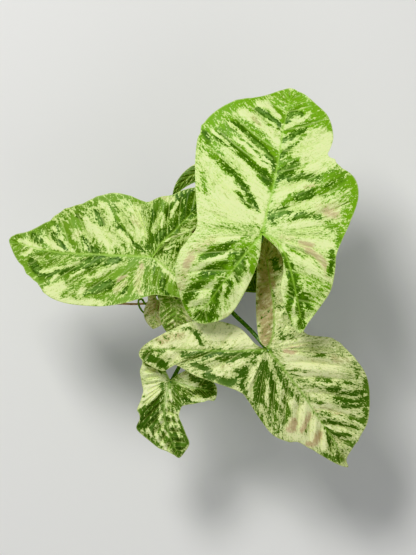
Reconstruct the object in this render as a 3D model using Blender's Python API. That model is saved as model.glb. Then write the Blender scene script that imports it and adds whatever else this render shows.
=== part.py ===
"""A potted arrowhead plant (Syngonium) with cream-marbled leaves, as a Blender model.

Metres, +Z up. The origin is the middle of the pot's underside. The tables hold millimetres.
Each leaf is a petiole and a blade. A blade's tables give its plan: its three ribs, and the margin
point that each side vein reaches. Its height above that plan comes from a formula.
"""
import math

import bpy
import numpy as np

MM = 0.001
SEAT_GAP = 0.35  # between pieces that touch

# The pot, millimetres
POT_HEIGHT = 80.0
POT_FOOT_RADIUS = 30.0
POT_BODY_RADIUS = 39.0  # just under the rim band
POT_RIM_RADIUS = 42.5
POT_RIM_BAND = 9.0
POT_WALL = 1.5
POT_FLOOR = 3.0
POT_SIDES = 48
PAD_RADIUS = 11.0  # flat middle of the underside
RECESS = 1.4  # ring round the pad that carries the drain holes
RECESS_RADIUS = 24.0
DRAIN_COUNT = 8
DRAIN_RADIUS = 2.6
DRAIN_RING = 17.5

# The potting mix and the stem, millimetres
SOIL_LEVEL = 70.0
SOIL_SIDES = 40
STEM_FOOT = 44.0
STEM_TOP = 124.0
STEM_RADIUS_LOW = 4.6
STEM_RADIUS_HIGH = 3.4
STEM_SIDES = 16
STEM_NODES = (80.0, 89.0, 101.0, 113.0)

# Blades and petioles, millimetres
BLADE_THICKNESS = 0.8
RIB_DEPTH = 1.9  # how far the ribs stand out below the blade beside the petiole
PUCKER = 0.75  # how far the blade swells between two side veins
VEIN_BOW = 0.05  # side veins bend forwards by this share of their length
PETIOLE_RADIUS_LOW = 2.7
PETIOLE_RADIUS_HIGH = 1.5
PETIOLE_INSET = 2.6  # a petiole meets its blade this far in from the notch
COLUMNS = (0.0, 0.1, 0.3, 0.55, 0.8, 1.0)  # from rib to margin
YOUNG_COLUMNS = (0.0, 0.2, 0.6, 1.0)

# Stretches of the margin, anticlockwise from the notch: rib, its share at each end, margin points passed
STRETCHES = (
    ("first", 0, 1, 4),
    ("first", 1, 1, 2),
    ("first", 1, 0, 4),
    ("mid", 0, 0, 3),
    ("mid", 0, 1, 7),
    ("mid", 1, 1, 2),
    ("mid", 1, 0, 7),
    ("mid", 0, 0, 3),
    ("second", 0, 1, 4),
    ("second", 1, 1, 2),
    ("second", 1, 0, 4),
)

# The four measured blades. Points are east and north of the petiole's top.
# form: pitch along the midrib, sag per mm2, fold, roll per mm2 across, lobe sag per mm2
MEASURED = {
    "crown": {
        "at": (49.7, 21.1, 214.0),
        "heading": 79,
        "form": (-0.10, 0.0016, 0.10, 0.0014, 0.0035),
        "wave": (2.2, 9, 0.4),
        "mid": [(3.5, 16), (8, 33), (11.5, 50), (14.5, 67), (17.5, 84.5), (20.5, 99.5), (23, 109.5)],
        "first": [(11, -5), (20, -19.5), (25, -38), (29, -56), (31, -66)],
        "second": [(-12, -14), (-24, -29), (-35, -44), (-46, -58.5)],
        "margin": [
            (14, -14), (17, -28), (15, -45), (22, -67), (30.5, -79), (38, -69), (46.8, -57.3), (55, -44),
            (58, -28), (59, -16), (64.5, -2.5), (70, 9), (77, 29), (74.3, 45), (60, 57), (54, 64),
            (57.8, 78.5), (54.3, 95), (44, 106), (34, 114.5), (24.5, 119), (16.5, 117.5), (1, 112.2),
            (-15, 109.6), (-30, 104), (-43.5, 93.3), (-50.5, 80), (-53, 61.5), (-53, 39.5), (-52, 22),
            (-52, 6), (-59.5, -5), (-67, -18), (-69, -32), (-66, -46.5), (-61.5, -59.5), (-54, -69),
            (-43.5, -71), (-26, -64.5), (-13, -45), (-2.8, -21),
        ],
    },
    "left": {
        "at": (-37.8, 3.4, 186.0),
        "heading": 173,
        "form": (-0.12, 0.0014, 0.12, 0.0016, 0.002),
        "wave": (2.4, 8, 1.7),
        "mid": [(-17, 1), (-33.5, 1.5), (-50, 2.5), (-67.5, 3), (-84, 5), (-99.5, 8.5), (-109.5, 11.5)],
        "first": [(7.5, 11.5), (18, 21.5), (32, 36)],
        "second": [(10, -8), (20.5, -16), (30, -24)],
        "margin": [
            (9, 9.2), (20, 14.8), (33, 21.5), (43.5, 38), (43, 51.5), (35, 56), (24.5, 54), (15, 50),
            (6, 48.5), (-3, 44.5), (-8.5, 45.5), (-14.5, 48), (-19.5, 50), (-33, 52), (-48, 47.5),
            (-65, 41.3), (-78, 35.2), (-90, 27.5), (-102.5, 21.4), (-113, 18.9), (-118.5, 14.5),
            (-116.5, 7), (-113, -0.5), (-107, -8.5), (-100, -16.5), (-91.5, -25), (-84, -32.5),
            (-70.5, -37.5), (-52.5, -39.5), (-37, -39.5), (-20.5, -36.5), (-5.5, -32), (2, -30.5),
            (11, -31.5), (19.5, -32.5), (28.5, -34), (36.5, -31.5), (42, -20), (41.5, -3),
            (32, 13.5), (16, 11.8),
        ],
    },
    "front": {
        "at": (54.9, -71.1, 172.0),
        "heading": -55.5,
        "form": (-0.18, 0.0014, 0.06, 0.0028, 0.001),
        "wave": (2.0, 9, 0.9),
        "mid": [(9.5, -11), (19, -24), (28.5, -36), (37, -49), (45.5, -61.5), (54, -74), (61, -86.5)],
        "first": [(-19.5, -1.5), (-43, -1.5), (-69.5, -0.5), (-94, -0.5)],
        "second": [(5, 13), (5, 35.5), (2, 55), (-0.5, 74)],
        "margin": [
            (-9, 3.5), (-26, 19), (-58, 23), (-91.5, 8.5), (-104, -2), (-101, -10.5),
            (-85, -18.5), (-75, -13.5), (-57, -22.5), (-24, -34.3), (-15.8, -42), (-8.3, -54), (-2, -63),
            (5, -71), (15, -76), (26, -77.5), (35.8, -83.3), (45.6, -89), (55, -94.6), (62, -98),
            (68.5, -99.5), (67, -92.5), (72.5, -82), (78.5, -72), (84, -61), (85.5, -45.5),
            (84.2, -29.5), (79.8, -18), (71.5, -7.5), (64.5, 0), (54, 8.5), (31.5, 12.5), (27.5, 27.5),
            (24, 44), (18.5, 62.5), (9.5, 80), (0.5, 90), (-5.8, 82.5), (-9, 52), (-9, 28), (-6.5, 8),
        ],
    },
    "low": {
        "at": (-24.2, -97.9, 144.0),
        "heading": -83.6,
        "form": (-0.25, 0.0020, 0.15, 0.0020, 0.003),
        "wave": (1.6, 7, 0.2),
        "mid": [(-2.5, -9), (-4.5, -17.5), (-5.5, -26), (-4.5, -34.5), (-2, -43), (1, -52), (4.5, -59.5)],
        "first": [(-6, 6.5), (-12, 13), (-17, 19)],
        "second": [(10.5, -3.5), (21.5, -6.5), (31, -8.5)],
        "margin": [
            (-3, 6.5), (-5.5, 12), (-9.5, 17.5), (-14.5, 23), (-21, 25), (-24.5, 21), (-23, 14.5),
            (-25, 8), (-24.3, 2), (-23.3, -4), (-22.5, -10), (-24.5, -16.5), (-27, -23.5),
            (-25.5, -31.5), (-28.5, -40), (-23.5, -46.2), (-17, -51.8), (-10.3, -57.2), (-3.5, -60),
            (2, -63), (7, -66), (12, -60.5), (15.5, -53.5), (12.8, -45.5), (9.8, -37.5), (7, -30.5),
            (8, -25), (10.5, -22), (14, -20.5), (18, -20), (22, -19), (26, -18), (28.5, -17),
            (31.5, -17), (34.5, -17.5), (37, -16), (38.5, -10.5), (37.5, -4), (30.5, 3), (19, 9.5),
            (7, 5.5),
        ],
    },
}

# Half an arrowhead blade of unit length, heading along +X, from the notch round to the last side vein
HALF_MARGIN = (
    (-0.08, 0.04), (-0.2, 0.09), (-0.33, 0.14), (-0.45, 0.22), (-0.5, 0.33), (-0.42, 0.43), (-0.3, 0.48),
    (-0.17, 0.49), (-0.04, 0.465), (0.06, 0.42), (0.15, 0.40), (0.24, 0.39), (0.33, 0.375), (0.44, 0.35),
    (0.55, 0.31), (0.65, 0.265), (0.75, 0.21), (0.84, 0.15), (0.92, 0.085), (0.975, 0.035),
)
HALF_RIB = ((-0.13, 0.11), (-0.26, 0.22), (-0.38, 0.30))

# The four young blades. shape: heading, length, breadth and lobe factors, bluntness, curl of the midrib
YOUNG = {
    "rear": {"at": (26.0, 73.2, 160.0), "shape": (159, 58.0, 0.38, 0.8, 0.0, 88),
             "form": (-0.05, 0.004, 0.1, 0.004, 0.004), "wave": (1.0, 5, 0.3)},
    "inner": {"at": (21.6, -0.4, 150.0), "shape": (-30, 46.0, 0.95, 0.6, 0.0, 0),
              "form": (-0.10, 0.003, 0.15, 0.003, 0.004), "wave": (0.9, 5, 1.1)},
    "pale": {"at": (-34.2, -31.7, 164.0), "shape": (-100, 24.0, 0.74, 0.45, 1.3, 0),
             "form": (-0.35, 0.010, 0.2, 0.010, 0.01), "wave": (0.5, 4, 0.6)},
    "mottled": {"at": (-19.0, -31.2, 172.0), "shape": (-90, 33.0, 0.95, 0.5, 0.6, 0),
                "form": (-0.40, 0.009, 0.2, 0.009, 0.01), "wave": (0.5, 4, 2.0)},
}

# Petiole routes from the stem's axis, millimetres; the last point is found under the blade
PETIOLES = {
    "crown": [(0, 0, 120), (0.5, 2.5, 130), (3, 7, 148), (11, 8, 168), (27, 8, 184), (41, 9, 195), (47.6, 14.5, 205)],
    "left": [(0, 0, 101), (-5, 0, 109), (-11, 0, 130), (-19, 1, 152), (-29, 2.5, 171)],
    "front": [(0, 0, 89), (3.5, -5, 97), (10, -18, 122), (19, -33, 143), (28.5, -43.5, 154), (42.5, -57, 162)],
    "low": [(0, 0, 80), (0.5, -6, 86), (0, -16, 98), (-1, -30, 112), (-4, -50, 125), (-12, -76, 135)],
    "rear": [(0, 0, 113), (2.5, 7, 119), (6, 20, 138), (14, 42, 150)],
    "inner": [(0, 0, 107), (4, -1, 116), (9, -1, 131), (15, -0.8, 141)],
    "pale": [(0, 0, 86), (-6, -5, 94), (-15, -13, 118), (-25, -23, 145)],
    "mottled": [(0, 0, 95), (-3.5, -6, 104), (-7.5, -13, 124), (-13, -22, 153)],
}
YOUNG_PETIOLE_SCALE = 0.72

# Aerial roots from the stem, millimetres
ROOTS = {
    "root_long": (1.1, [(-1.5, -1.5, 94), (-9, -14.5, 101), (-26, -30, 103), (-45, -35, 98), (-66, -35.5, 84),
                        (-84, -34.5, 66), (-92, -34, 54)]),
    "root_curled": (0.9, [(-2.5, 0.5, 95), (-9, 0.5, 97.5), (-24, -12, 104), (-37, -28, 109), (-45, -35.5, 110),
                          (-48.5, -31.5, 111), (-51.5, -32.5, 109), (-51, -37.5, 106), (-47.5, -42.5, 104.5),
                          (-44.5, -42.5, 105.5), (-42, -40.5, 107)]),
}

COLOURS = {
    "marbled_leaf": (0.42, 0.62, 0.20, 0.45),
    "young_leaf": (0.35, 0.50, 0.16, 0.5),
    "petiole_green": (0.12, 0.30, 0.03, 0.4),
    "stem_green": (0.16, 0.30, 0.06, 0.5),
    "root_tan": (0.55, 0.38, 0.24, 0.8),
    "pot_plastic": (0.02, 0.02, 0.022, 0.5),
    "potting_mix": (0.06, 0.035, 0.02, 0.95),
}


def clear_scene():
    for obj in list(bpy.data.objects):
        bpy.data.objects.remove(obj, do_unlink=True)


def material(name):
    made = bpy.data.materials.get(name)
    if made is None:
        made = bpy.data.materials.new(name)
        made.use_nodes = True
        shader = made.node_tree.nodes["Principled BSDF"]
        red, green, blue, roughness = COLOURS[name]
        shader.inputs["Base Color"].default_value = (red, green, blue, 1)
        shader.inputs["Roughness"].default_value = roughness
        shader.inputs["Metallic"].default_value = 0.0
    return made


def add_mesh(name, vertices, faces, finish, smooth_angle=None):
    """A mesh object from millimetre vertices, with its place in its vertices."""
    mesh = bpy.data.meshes.new(name)
    mesh.from_pydata([tuple(float(x) * MM for x in v) for v in vertices], [], faces)
    mesh.validate()
    obj = bpy.data.objects.new(name, mesh)
    bpy.context.scene.collection.objects.link(obj)
    mesh.materials.append(material(finish))
    if smooth_angle is not None:
        mesh.shade_smooth()
        mesh.set_sharp_from_angle(angle=math.radians(smooth_angle))
    return obj


def spline(points, at):
    """The point at this index, whole or not, on the smooth curve through the points."""
    points = np.asarray(points, float)
    last = len(points) - 1
    step = min(int(at), last - 1)
    t = at - step
    p1, p2 = points[step], points[step + 1]
    p0 = points[step - 1] if step > 0 else 2 * p1 - p2
    p3 = points[step + 2] if step + 2 <= last else 2 * p2 - p1
    return 0.5 * (
        2 * p1 + (p2 - p0) * t + (2 * p0 - 5 * p1 + 4 * p2 - p3) * t * t
        + (3 * p1 - p0 - 3 * p2 + p3) * t ** 3
    )


def tube(name, centres, radii, sides, finish, end_normal=None):
    """A closed tube along the centres, with flat ends, the last one square to end_normal if given."""
    centres = [np.asarray(c, float) for c in centres]
    vertices, faces = [], []
    side = np.array([1.0, 0.0, 0.0])
    for i, centre in enumerate(centres):
        ahead = centres[min(i + 1, len(centres) - 1)] - centres[max(i - 1, 0)]
        ahead /= np.linalg.norm(ahead)
        side = side - ahead * side.dot(ahead)
        side /= np.linalg.norm(side)
        up = np.cross(ahead, side)
        for k in range(sides):
            angle = 2 * math.pi * k / sides
            offset = radii[i] * (math.cos(angle) * side + math.sin(angle) * up)
            if end_normal is not None and i == len(centres) - 1:
                offset = offset - ahead * offset.dot(end_normal) / ahead.dot(end_normal)
            vertices.append(centre + offset)
    for i in range(len(centres) - 1):
        for k in range(sides):
            a, b = i * sides + k, i * sides + (k + 1) % sides
            faces.append((a, b, b + sides, a + sides))
    faces.append(tuple(reversed(range(sides))))
    faces.append(tuple(range((len(centres) - 1) * sides, len(centres) * sides)))
    return add_mesh(name, vertices, faces, finish, 40)


def turned(name, profile, sides, finish, relief=None):
    """A solid of revolution. The profile runs from the axis, out along the bottom and back over the top."""
    vertices = [(0, 0, profile[0][1])]
    for radius, height in profile[1:-1]:
        for k in range(sides):
            angle = 2 * math.pi * k / sides
            lift = relief(radius, height, angle) if relief else 0.0
            vertices.append((radius * math.cos(angle), radius * math.sin(angle), height + lift))
    vertices.append((0, 0, profile[-1][1]))
    rings = len(profile) - 2
    top = len(vertices) - 1
    faces = []
    for k in range(sides):
        after = (k + 1) % sides
        faces.append((0, 1 + after, 1 + k))
        for ring in range(rings - 1):
            low, high = 1 + ring * sides, 1 + (ring + 1) * sides
            faces.append((low + k, low + after, high + after, high + k))
        last = 1 + (rings - 1) * sides
        faces.append((last + k, last + after, top))
    return add_mesh(name, vertices, faces, finish, 35)


def cut(target, cutter):
    """Takes the cutter out of the target and hides the cutter."""
    modifier = target.modifiers.new("cut_" + cutter.name, "BOOLEAN")
    modifier.operation = "DIFFERENCE"
    modifier.solver = "EXACT"
    modifier.object = cutter
    cutter.hide_render = True
    cutter.display_type = "WIRE"


def pot_inner_radius(height):
    share = height / (POT_HEIGHT - POT_RIM_BAND)
    return POT_FOOT_RADIUS + (POT_BODY_RADIUS - POT_FOOT_RADIUS) * min(share, 1.0) - POT_WALL


def make_pot():
    band = POT_HEIGHT - POT_RIM_BAND
    lip = 0.8
    profile = [
        (0, 0),
        (PAD_RADIUS, 0),
        (PAD_RADIUS + 1, RECESS),
        (RECESS_RADIUS, RECESS),
        (RECESS_RADIUS + 1, 0),
        (POT_FOOT_RADIUS - 0.8, 0),
        (POT_FOOT_RADIUS, 1.0),
        (POT_BODY_RADIUS, band),
        (POT_RIM_RADIUS - lip, band),
        (POT_RIM_RADIUS, band + lip),
        (POT_RIM_RADIUS, POT_HEIGHT - lip),
        (POT_RIM_RADIUS - lip, POT_HEIGHT),
        (POT_RIM_RADIUS - POT_WALL - lip, POT_HEIGHT),
        (POT_RIM_RADIUS - POT_WALL - 1.2, POT_HEIGHT - 1.0),
        (POT_RIM_RADIUS - POT_WALL - 1.6, band + 2.0),
        (pot_inner_radius(band), band),
        (pot_inner_radius(POT_FLOOR + 2), POT_FLOOR + 2),
        (pot_inner_radius(POT_FLOOR) - 2, POT_FLOOR),
        (0, POT_FLOOR),
    ]
    pot = turned("pot", profile, POT_SIDES, "pot_plastic")
    for k in range(DRAIN_COUNT):
        angle = 2 * math.pi * (k + 0.37) / DRAIN_COUNT
        x, y = DRAIN_RING * math.cos(angle), DRAIN_RING * math.sin(angle)
        drill = tube(f"drill_{k}", [(x, y, -2), (x, y, POT_FLOOR + 2)], [DRAIN_RADIUS] * 2, 12, "pot_plastic")
        cut(pot, drill)


def soil_relief(radius, height, angle):
    """Lumps on the top of the potting mix, fading out at the stem's hole and at the pot's wall."""
    if height < SOIL_LEVEL - 4 or radius < stem_radius(height) + 1.5:
        return 0.0
    fade = min(1.0, (pot_inner_radius(SOIL_LEVEL) - radius) / 6)
    waves = math.sin(5 * angle + 0.21 * radius) + math.sin(9 * angle - 0.33 * radius + 1)
    return fade * 0.8 * (waves + math.cos(0.7 * radius))


def make_soil():
    outer_low = pot_inner_radius(POT_FLOOR + 3) - SEAT_GAP
    outer_high = pot_inner_radius(SOIL_LEVEL) - SEAT_GAP
    hole = stem_radius(SOIL_LEVEL) + SEAT_GAP
    profile = [(0, POT_FLOOR + SEAT_GAP), (outer_low - 2, POT_FLOOR + SEAT_GAP), (outer_low, POT_FLOOR + 3)]
    profile.append((outer_high, SOIL_LEVEL - 1))
    for share in (0.12, 0.25, 0.4, 0.55, 0.7, 0.85):
        profile.append((outer_high + (hole - outer_high) * share, SOIL_LEVEL + 1.2 * share))
    profile += [(hole, SOIL_LEVEL + 1.2), (hole, STEM_FOOT - SEAT_GAP), (0, STEM_FOOT - SEAT_GAP)]
    turned("potting_mix", profile, SOIL_SIDES, "potting_mix", soil_relief)


def stem_radius(height):
    """The stem tapers from the soil upwards and swells at each node."""
    share = min(max((height - SOIL_LEVEL) / (STEM_TOP - SOIL_LEVEL), 0), 1)
    radius = STEM_RADIUS_LOW + (STEM_RADIUS_HIGH - STEM_RADIUS_LOW) * share
    return radius + 0.45 * sum(math.exp(-(((height - node) / 1.8) ** 2)) for node in STEM_NODES)


def stem_mesh(name, extra):
    heights = [STEM_FOOT, SOIL_LEVEL]
    for node in STEM_NODES:
        heights += [node - 3.5, node - 1.2, node + 1.2, node + 3.5]
    heights += [STEM_TOP - 3, STEM_TOP - 1]
    heights = sorted(heights)
    profile = [(0, STEM_FOOT - extra)] + [(stem_radius(h) + extra, h) for h in heights]
    profile[1] = (stem_radius(STEM_FOOT) + extra, STEM_FOOT - extra)
    profile += [(STEM_RADIUS_HIGH * 0.75 + extra, STEM_TOP + extra), (0, STEM_TOP + extra)]
    return turned(name, profile, STEM_SIDES, "stem_green")


class Blade:
    """The plan, height and solid of one blade."""

    def __init__(self, name, at, heading, form, wave, ribs, margin, columns=COLUMNS, rows=2):
        self.name, self.at = name, np.array(at, float)
        self.heading = math.radians(heading)
        self.form, self.wave = form, wave
        start = [(0.0, 0.0)]
        self.ribs = {key: start + list(points) for key, points in ribs.items()}
        self.margin = start + list(margin) + start
        self.columns, self.rows = columns, rows
        self.reach = max(math.hypot(x, y) for x, y in margin)

    def rib_point(self, rib, share):
        return spline(self.ribs[rib], share * (len(self.ribs[rib]) - 1))

    def row_list(self):
        """(rib, share along it, margin index) of each row of the mesh, from the notch round to the notch."""
        listed, index = [("mid", 0.0, 0.0)], 0
        for rib, start, end, passed in STRETCHES:
            steps = passed * self.rows
            for j in range(1, steps + 1):
                share = start + (end - start) * j / steps
                listed.append((rib if share > 0 else "mid", share, index + j / self.rows))
            index += passed
        return listed

    def plan_point(self, row, t):
        rib, share, index = row
        start = self.rib_point(rib, share)
        end = spline(self.margin, index)
        ahead = self.rib_point(rib, min(share + 0.05, 1.0)) - self.rib_point(rib, max(share - 0.05, 0.0))
        ahead = ahead / (np.linalg.norm(ahead) or 1.0)
        bow = VEIN_BOW * np.linalg.norm(end - start) * 4 * t * (1 - t)
        return start + (end - start) * t - ahead * (bow if 0 < share < 1 else 0.0)

    def height(self, x, y):
        pitch, sag, fold, roll, lobe_sag = self.form
        along = x * math.cos(self.heading) + y * math.sin(self.heading)
        across = -x * math.sin(self.heading) + y * math.cos(self.heading)
        soft = 4.0
        z = pitch * along - sag * along ** 2 - roll * across ** 2
        z += fold * (math.sqrt(across ** 2 + soft ** 2) - soft)
        return z - (lobe_sag * along ** 2 if along < 0 else 0.0)

    def middle_point(self, row, t):
        """A point halfway through the blade's thickness, with its swellings and its waved edge."""
        x, y = self.plan_point(row, t)
        share, index = row[1:]
        amount, count, phase = self.wave
        z = self.height(x, y)
        z += amount * t ** 3 * math.sin(2 * math.pi * count * index / (len(self.margin) - 1) + phase)
        swell = math.sin(math.pi * min(t * 1.15, 1.0)) * min(1.0, math.hypot(x, y) / (0.3 * self.reach))
        if share in (0, 1):
            swell *= t
        z -= PUCKER * swell * math.cos(2 * math.pi * index) * min(1.0, self.reach / 60)
        return np.array([x, y, z])

    def normal(self, x, y):
        step = 1.0
        dx = (self.height(x + step, y) - self.height(x - step, y)) / (2 * step)
        dy = (self.height(x, y + step) - self.height(x, y - step)) / (2 * step)
        normal = np.array([-dx, -dy, 1.0])
        return normal / np.linalg.norm(normal)

    def rib_depth(self, share):
        return (0.25 + (RIB_DEPTH - 0.25) * (1 - share)) * min(1.0, self.reach / 90 + 0.25)

    def petiole_seat(self):
        """Where the petiole's flat end meets the rib, and the blade's normal there."""
        inset = min(PETIOLE_INSET, 0.09 * self.reach)
        x, y = inset * math.cos(self.heading), inset * math.sin(self.heading)
        normal = self.normal(x, y)
        deep = BLADE_THICKNESS / 2 + self.rib_depth(0) + SEAT_GAP
        return self.at + np.array([x, y, self.height(x, y)]) - normal * deep, normal

    def build(self, finish):
        rows = self.row_list()
        keys, top, bottom = {}, [], []

        def vertex(row, column):
            rib, share, index = row
            at_notch = index in (0, len(self.margin) - 1)
            if column == 0 or at_notch:
                key = ("notch",) if share < 1e-9 or at_notch else (rib, round(share, 6))
            else:
                key = (index, column)
            if key not in keys:
                t = 0.0 if key == ("notch",) or column == 0 else self.columns[column]
                point = self.at + self.middle_point(row, t) if key != ("notch",) else self.at.copy()
                x, y = (point - self.at)[:2]
                normal = self.normal(x, y)
                deep = BLADE_THICKNESS / 2 + (self.rib_depth(share) if column == 0 or at_notch else 0.0)
                keys[key] = len(top)
                top.append(point + normal * BLADE_THICKNESS / 2)
                bottom.append(point - normal * deep)
            return keys[key]

        triangles = []
        edge = []
        last = len(self.columns) - 1
        for row, after in zip(rows, rows[1:]):
            for c in range(last):
                a, b = vertex(row, c), vertex(row, c + 1)
                d, e = vertex(after, c + 1), vertex(after, c)
                for corner in ((a, b, d), (a, d, e)):
                    if len(set(corner)) == 3:
                        triangles.append(corner)
            edge.append((vertex(row, last), vertex(after, last)))
        count = len(top)
        faces = list(triangles)
        faces += [(c + count, b + count, a + count) for a, b, c in triangles]
        for a, b in edge:
            faces += [(a, a + count, b + count), (a, b + count, b)]
        return add_mesh(self.name, top + bottom, faces, finish, 50)


def measured_blade(name, table):
    ribs = {key: table[key] for key in ("mid", "first", "second")}
    return Blade("blade_" + name, table["at"], table["heading"], table["form"], table["wave"], ribs,
                 table["margin"])


def young_blade(name, table):
    """A small blade from the half outline, its midrib curled sideways by so many degrees over its length."""
    heading, length, breadth, lobes, blunt, curl = table["shape"]

    def place(x, y, side):
        along = x * length * (lobes if x < 0 else 1)
        across = y * length * breadth * side * (1 + blunt * max(x, 0))
        if curl and x > 0:
            turn = math.radians(curl) * x
            radius = length / math.radians(curl)
            along = (radius - across) * math.sin(turn)
            across = radius - (radius - across) * math.cos(turn)
        angle = math.radians(heading)
        return (
            along * math.cos(angle) - across * math.sin(angle),
            along * math.sin(angle) + across * math.cos(angle),
        )

    midrib = [place(share, 0, 1) for share in (0.16, 0.32, 0.48, 0.64, 0.80, 0.92)]
    ribs = {"mid": midrib}
    ribs["first"] = [place(x, y, -1) for x, y in HALF_RIB]
    ribs["second"] = [place(x, y, 1) for x, y in HALF_RIB]
    margin = [place(x, y, -1) for x, y in HALF_MARGIN] + [place(1, 0, 1)]
    margin += [place(x, y, 1) for x, y in reversed(HALF_MARGIN)]
    return Blade("blade_" + name, table["at"], heading, table["form"], table["wave"], ribs, margin,
                 YOUNG_COLUMNS, 1)


def petiole(name, blade, route, scale, stem_cutter):
    seat, normal = blade.petiole_seat()
    points = [np.array(p, float) for p in route]
    points.append(seat)
    steps = 3 * (len(points) - 1)
    centres = [spline(points, (len(points) - 1) * i / steps) for i in range(steps + 1)]
    low, high = PETIOLE_RADIUS_LOW * scale, PETIOLE_RADIUS_HIGH * scale
    radii = [low + (high - low) * (i / steps) ** 0.6 for i in range(steps + 1)]
    stalk = tube("petiole_" + name, centres, radii, 10, "petiole_green", normal)
    cut(stalk, stem_cutter)


def make_plant():
    stem_mesh("stem", 0.0)
    stem_cutter = stem_mesh("stem_clearance", SEAT_GAP)
    for name, table in MEASURED.items():
        blade = measured_blade(name, table)
        blade.build("marbled_leaf")
        petiole(name, blade, PETIOLES[name], 1.0, stem_cutter)
    for name, table in YOUNG.items():
        blade = young_blade(name, table)
        blade.build("young_leaf")
        petiole(name, blade, PETIOLES[name], YOUNG_PETIOLE_SCALE, stem_cutter)
    for name, (radius, route) in ROOTS.items():
        steps = 3 * (len(route) - 1)
        centres = [spline(route, (len(route) - 1) * i / steps) for i in range(steps + 1)]
        radii = [radius * (1 - 0.45 * i / steps) for i in range(steps + 1)]
        cut(tube(name, centres, radii, 8, "root_tan"), stem_cutter)


clear_scene()
make_pot()
make_soil()
make_plant()
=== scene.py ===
"""Looks of a potted arrowhead plant with cream-marbled leaves, seen from straight above.

Each blade is a finer skin that follows the ribs, margin and height formula of its solid, with
small corners and dents of its own along the margin. Its side veins are furrowed, its skin swells
between them, and a keel runs below each rib. The marbling is a noise drawn out along the side
veins, led by many brush strokes that say where the leaf is green, cream or pink. A few strokes
paint shade where a leaf lies under another, and the colours of blades and roots in shade are set
lighter as painted light.
"""
import math

import bmesh
import bpy
import numpy as np
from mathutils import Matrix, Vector, noise


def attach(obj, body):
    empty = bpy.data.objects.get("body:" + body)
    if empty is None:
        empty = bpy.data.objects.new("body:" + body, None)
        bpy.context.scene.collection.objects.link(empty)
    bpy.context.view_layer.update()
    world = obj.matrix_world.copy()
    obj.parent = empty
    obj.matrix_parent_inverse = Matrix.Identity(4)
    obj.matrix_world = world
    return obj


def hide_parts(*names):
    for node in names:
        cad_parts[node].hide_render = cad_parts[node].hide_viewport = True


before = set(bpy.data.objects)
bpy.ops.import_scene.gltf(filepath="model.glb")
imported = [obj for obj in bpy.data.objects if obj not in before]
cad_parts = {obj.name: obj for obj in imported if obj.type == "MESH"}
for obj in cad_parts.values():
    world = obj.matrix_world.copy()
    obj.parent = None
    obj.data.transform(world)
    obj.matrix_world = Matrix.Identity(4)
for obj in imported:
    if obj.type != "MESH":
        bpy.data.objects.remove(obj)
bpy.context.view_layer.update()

MM = 0.001

# Camera, millimetres: straight above, a photograph's height away
CAMERA = (6.8, -13.1, 2000.0)
VIEW_HEIGHT = 493.3  # what the picture's long side spans on the floor
SENSOR = 36.0

# The grid of a blade: each row runs from a rib to the margin
ROWS = 14  # between two side veins
COLUMNS = 28  # from rib to margin
SEAT_ROW = 10 * ROWS + 1  # a row that starts at the petiole's top
VEIN_BOW = 0.05  # side veins bend forwards by this share of their length

# Thickness and relief of a blade, millimetres
BLADE_THICKNESS = 0.5
MARGIN_ROUNDING = 0.7  # how far in from its margin a blade thins
MARGIN_THINNEST = 0.12  # the square of the share of its thickness left at the margin
FULL_RELIEF_REACH = 60.0  # a blade with a shorter reach has shallower relief
CALM = 0.3  # the relief grows over this share of the reach round the petiole
PUCKER = 1.3  # how far the blade swells between two side veins
PLEAT = 0.1  # three finer pleats on each swelling
SWELL_PACE = 1.15  # a swelling ends at 1 / 1.15 of the way from rib to margin
VEIN_FURROW = 1.1
VEIN_FURROW_WIDTH = 0.85
VEIN_KEEL = 0.2
VEIN_KEEL_WIDTH = 0.6
RIB_FURROW = 0.55
RIB_WIDTH = 1.9
RIB_TAPER = 1.2  # how much narrower a rib is at its far end
KEEL_DEEP = 1.9  # below the ribs beside the petiole
KEEL_SHALLOW = 0.25
KEEL_LEAST = 0.25  # share of the depth on the smallest blade
KEEL_REACH = 90.0  # and the share grows by the blade's reach over this
KEEL_WIDTH = 0.7  # share of the rib's width, and what is added to it
KEEL_WIDTH_LEAST = 0.3
KEEL_FADES = 3.0  # the keel runs out over this width beside the margin
UNEVEN = 0.5  # height of the smallest dents, which come at two spans
UNEVEN_SPAN = 6.0
UNEVEN_FINE_SPAN = 2.6

# Pale lines along a blade's ribs, veins and margin, millimetres
RIB_LINE = 0.42  # share of the rib's width, and what is added to it
RIB_LINE_LEAST = 0.25
VEIN_LINE = 0.5
MINOR_LINE = 0.35  # the minor vein halfway between two side veins
MINOR_STRENGTH = 0.4
VEINS_MERGE = 3.0  # side veins nearer to each other than this don't show
VEINS_PART = 6.0  # and at this distance they show in full
MARGIN_LINE = 0.3
MARGIN_LINE_FADES = 0.9

# Marbling: noises drawn out along the side veins, with millimetres along and across, detail and distortion
DRAWN = {
    "streak": (16, 3.2, 2, 0.3),
    "hair": (9, 1.2, 2, 0.2),
    "fleck": (3.8, 1.8, 3, 0.5),
    "patch": (26, 8, 2, 0.2),
}
SPECK = 1.2  # millimetres
WEIGHTS = (0.9, 0.6, 2.3, 1.5)  # streaks, hairs, flecks and specks in the marbling
UV_UNIT = 100.0  # millimetres to one unit of the vein map
BEND_RADIUS = 28.0  # where a map round the petiole keeps its true width

# Brush strokes: full out to one share of the half width and gone at the other, with an edge that strays
STROKE_FULL = 0.35
STROKE_GONE = 1.6
RAGGED = 0.25  # how far the edge strays, as a share of the noise's span
DRIFTS = ((9, 1.0), (9, 8.0), (3, 4.0), (3, 6.0))  # span in mm and seed: coarse x and y, fine x and y

# Stretches of the margin, anticlockwise from the notch: rib, its share at each end, margin points passed
STRETCHES = (
    ("first", 0, 1, 4),
    ("first", 1, 1, 2),
    ("first", 1, 0, 4),
    ("mid", 0, 0, 3),
    ("mid", 0, 1, 7),
    ("mid", 1, 1, 2),
    ("mid", 1, 0, 7),
    ("mid", 0, 0, 3),
    ("second", 0, 1, 4),
    ("second", 1, 1, 2),
    ("second", 1, 0, 4),
)

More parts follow.
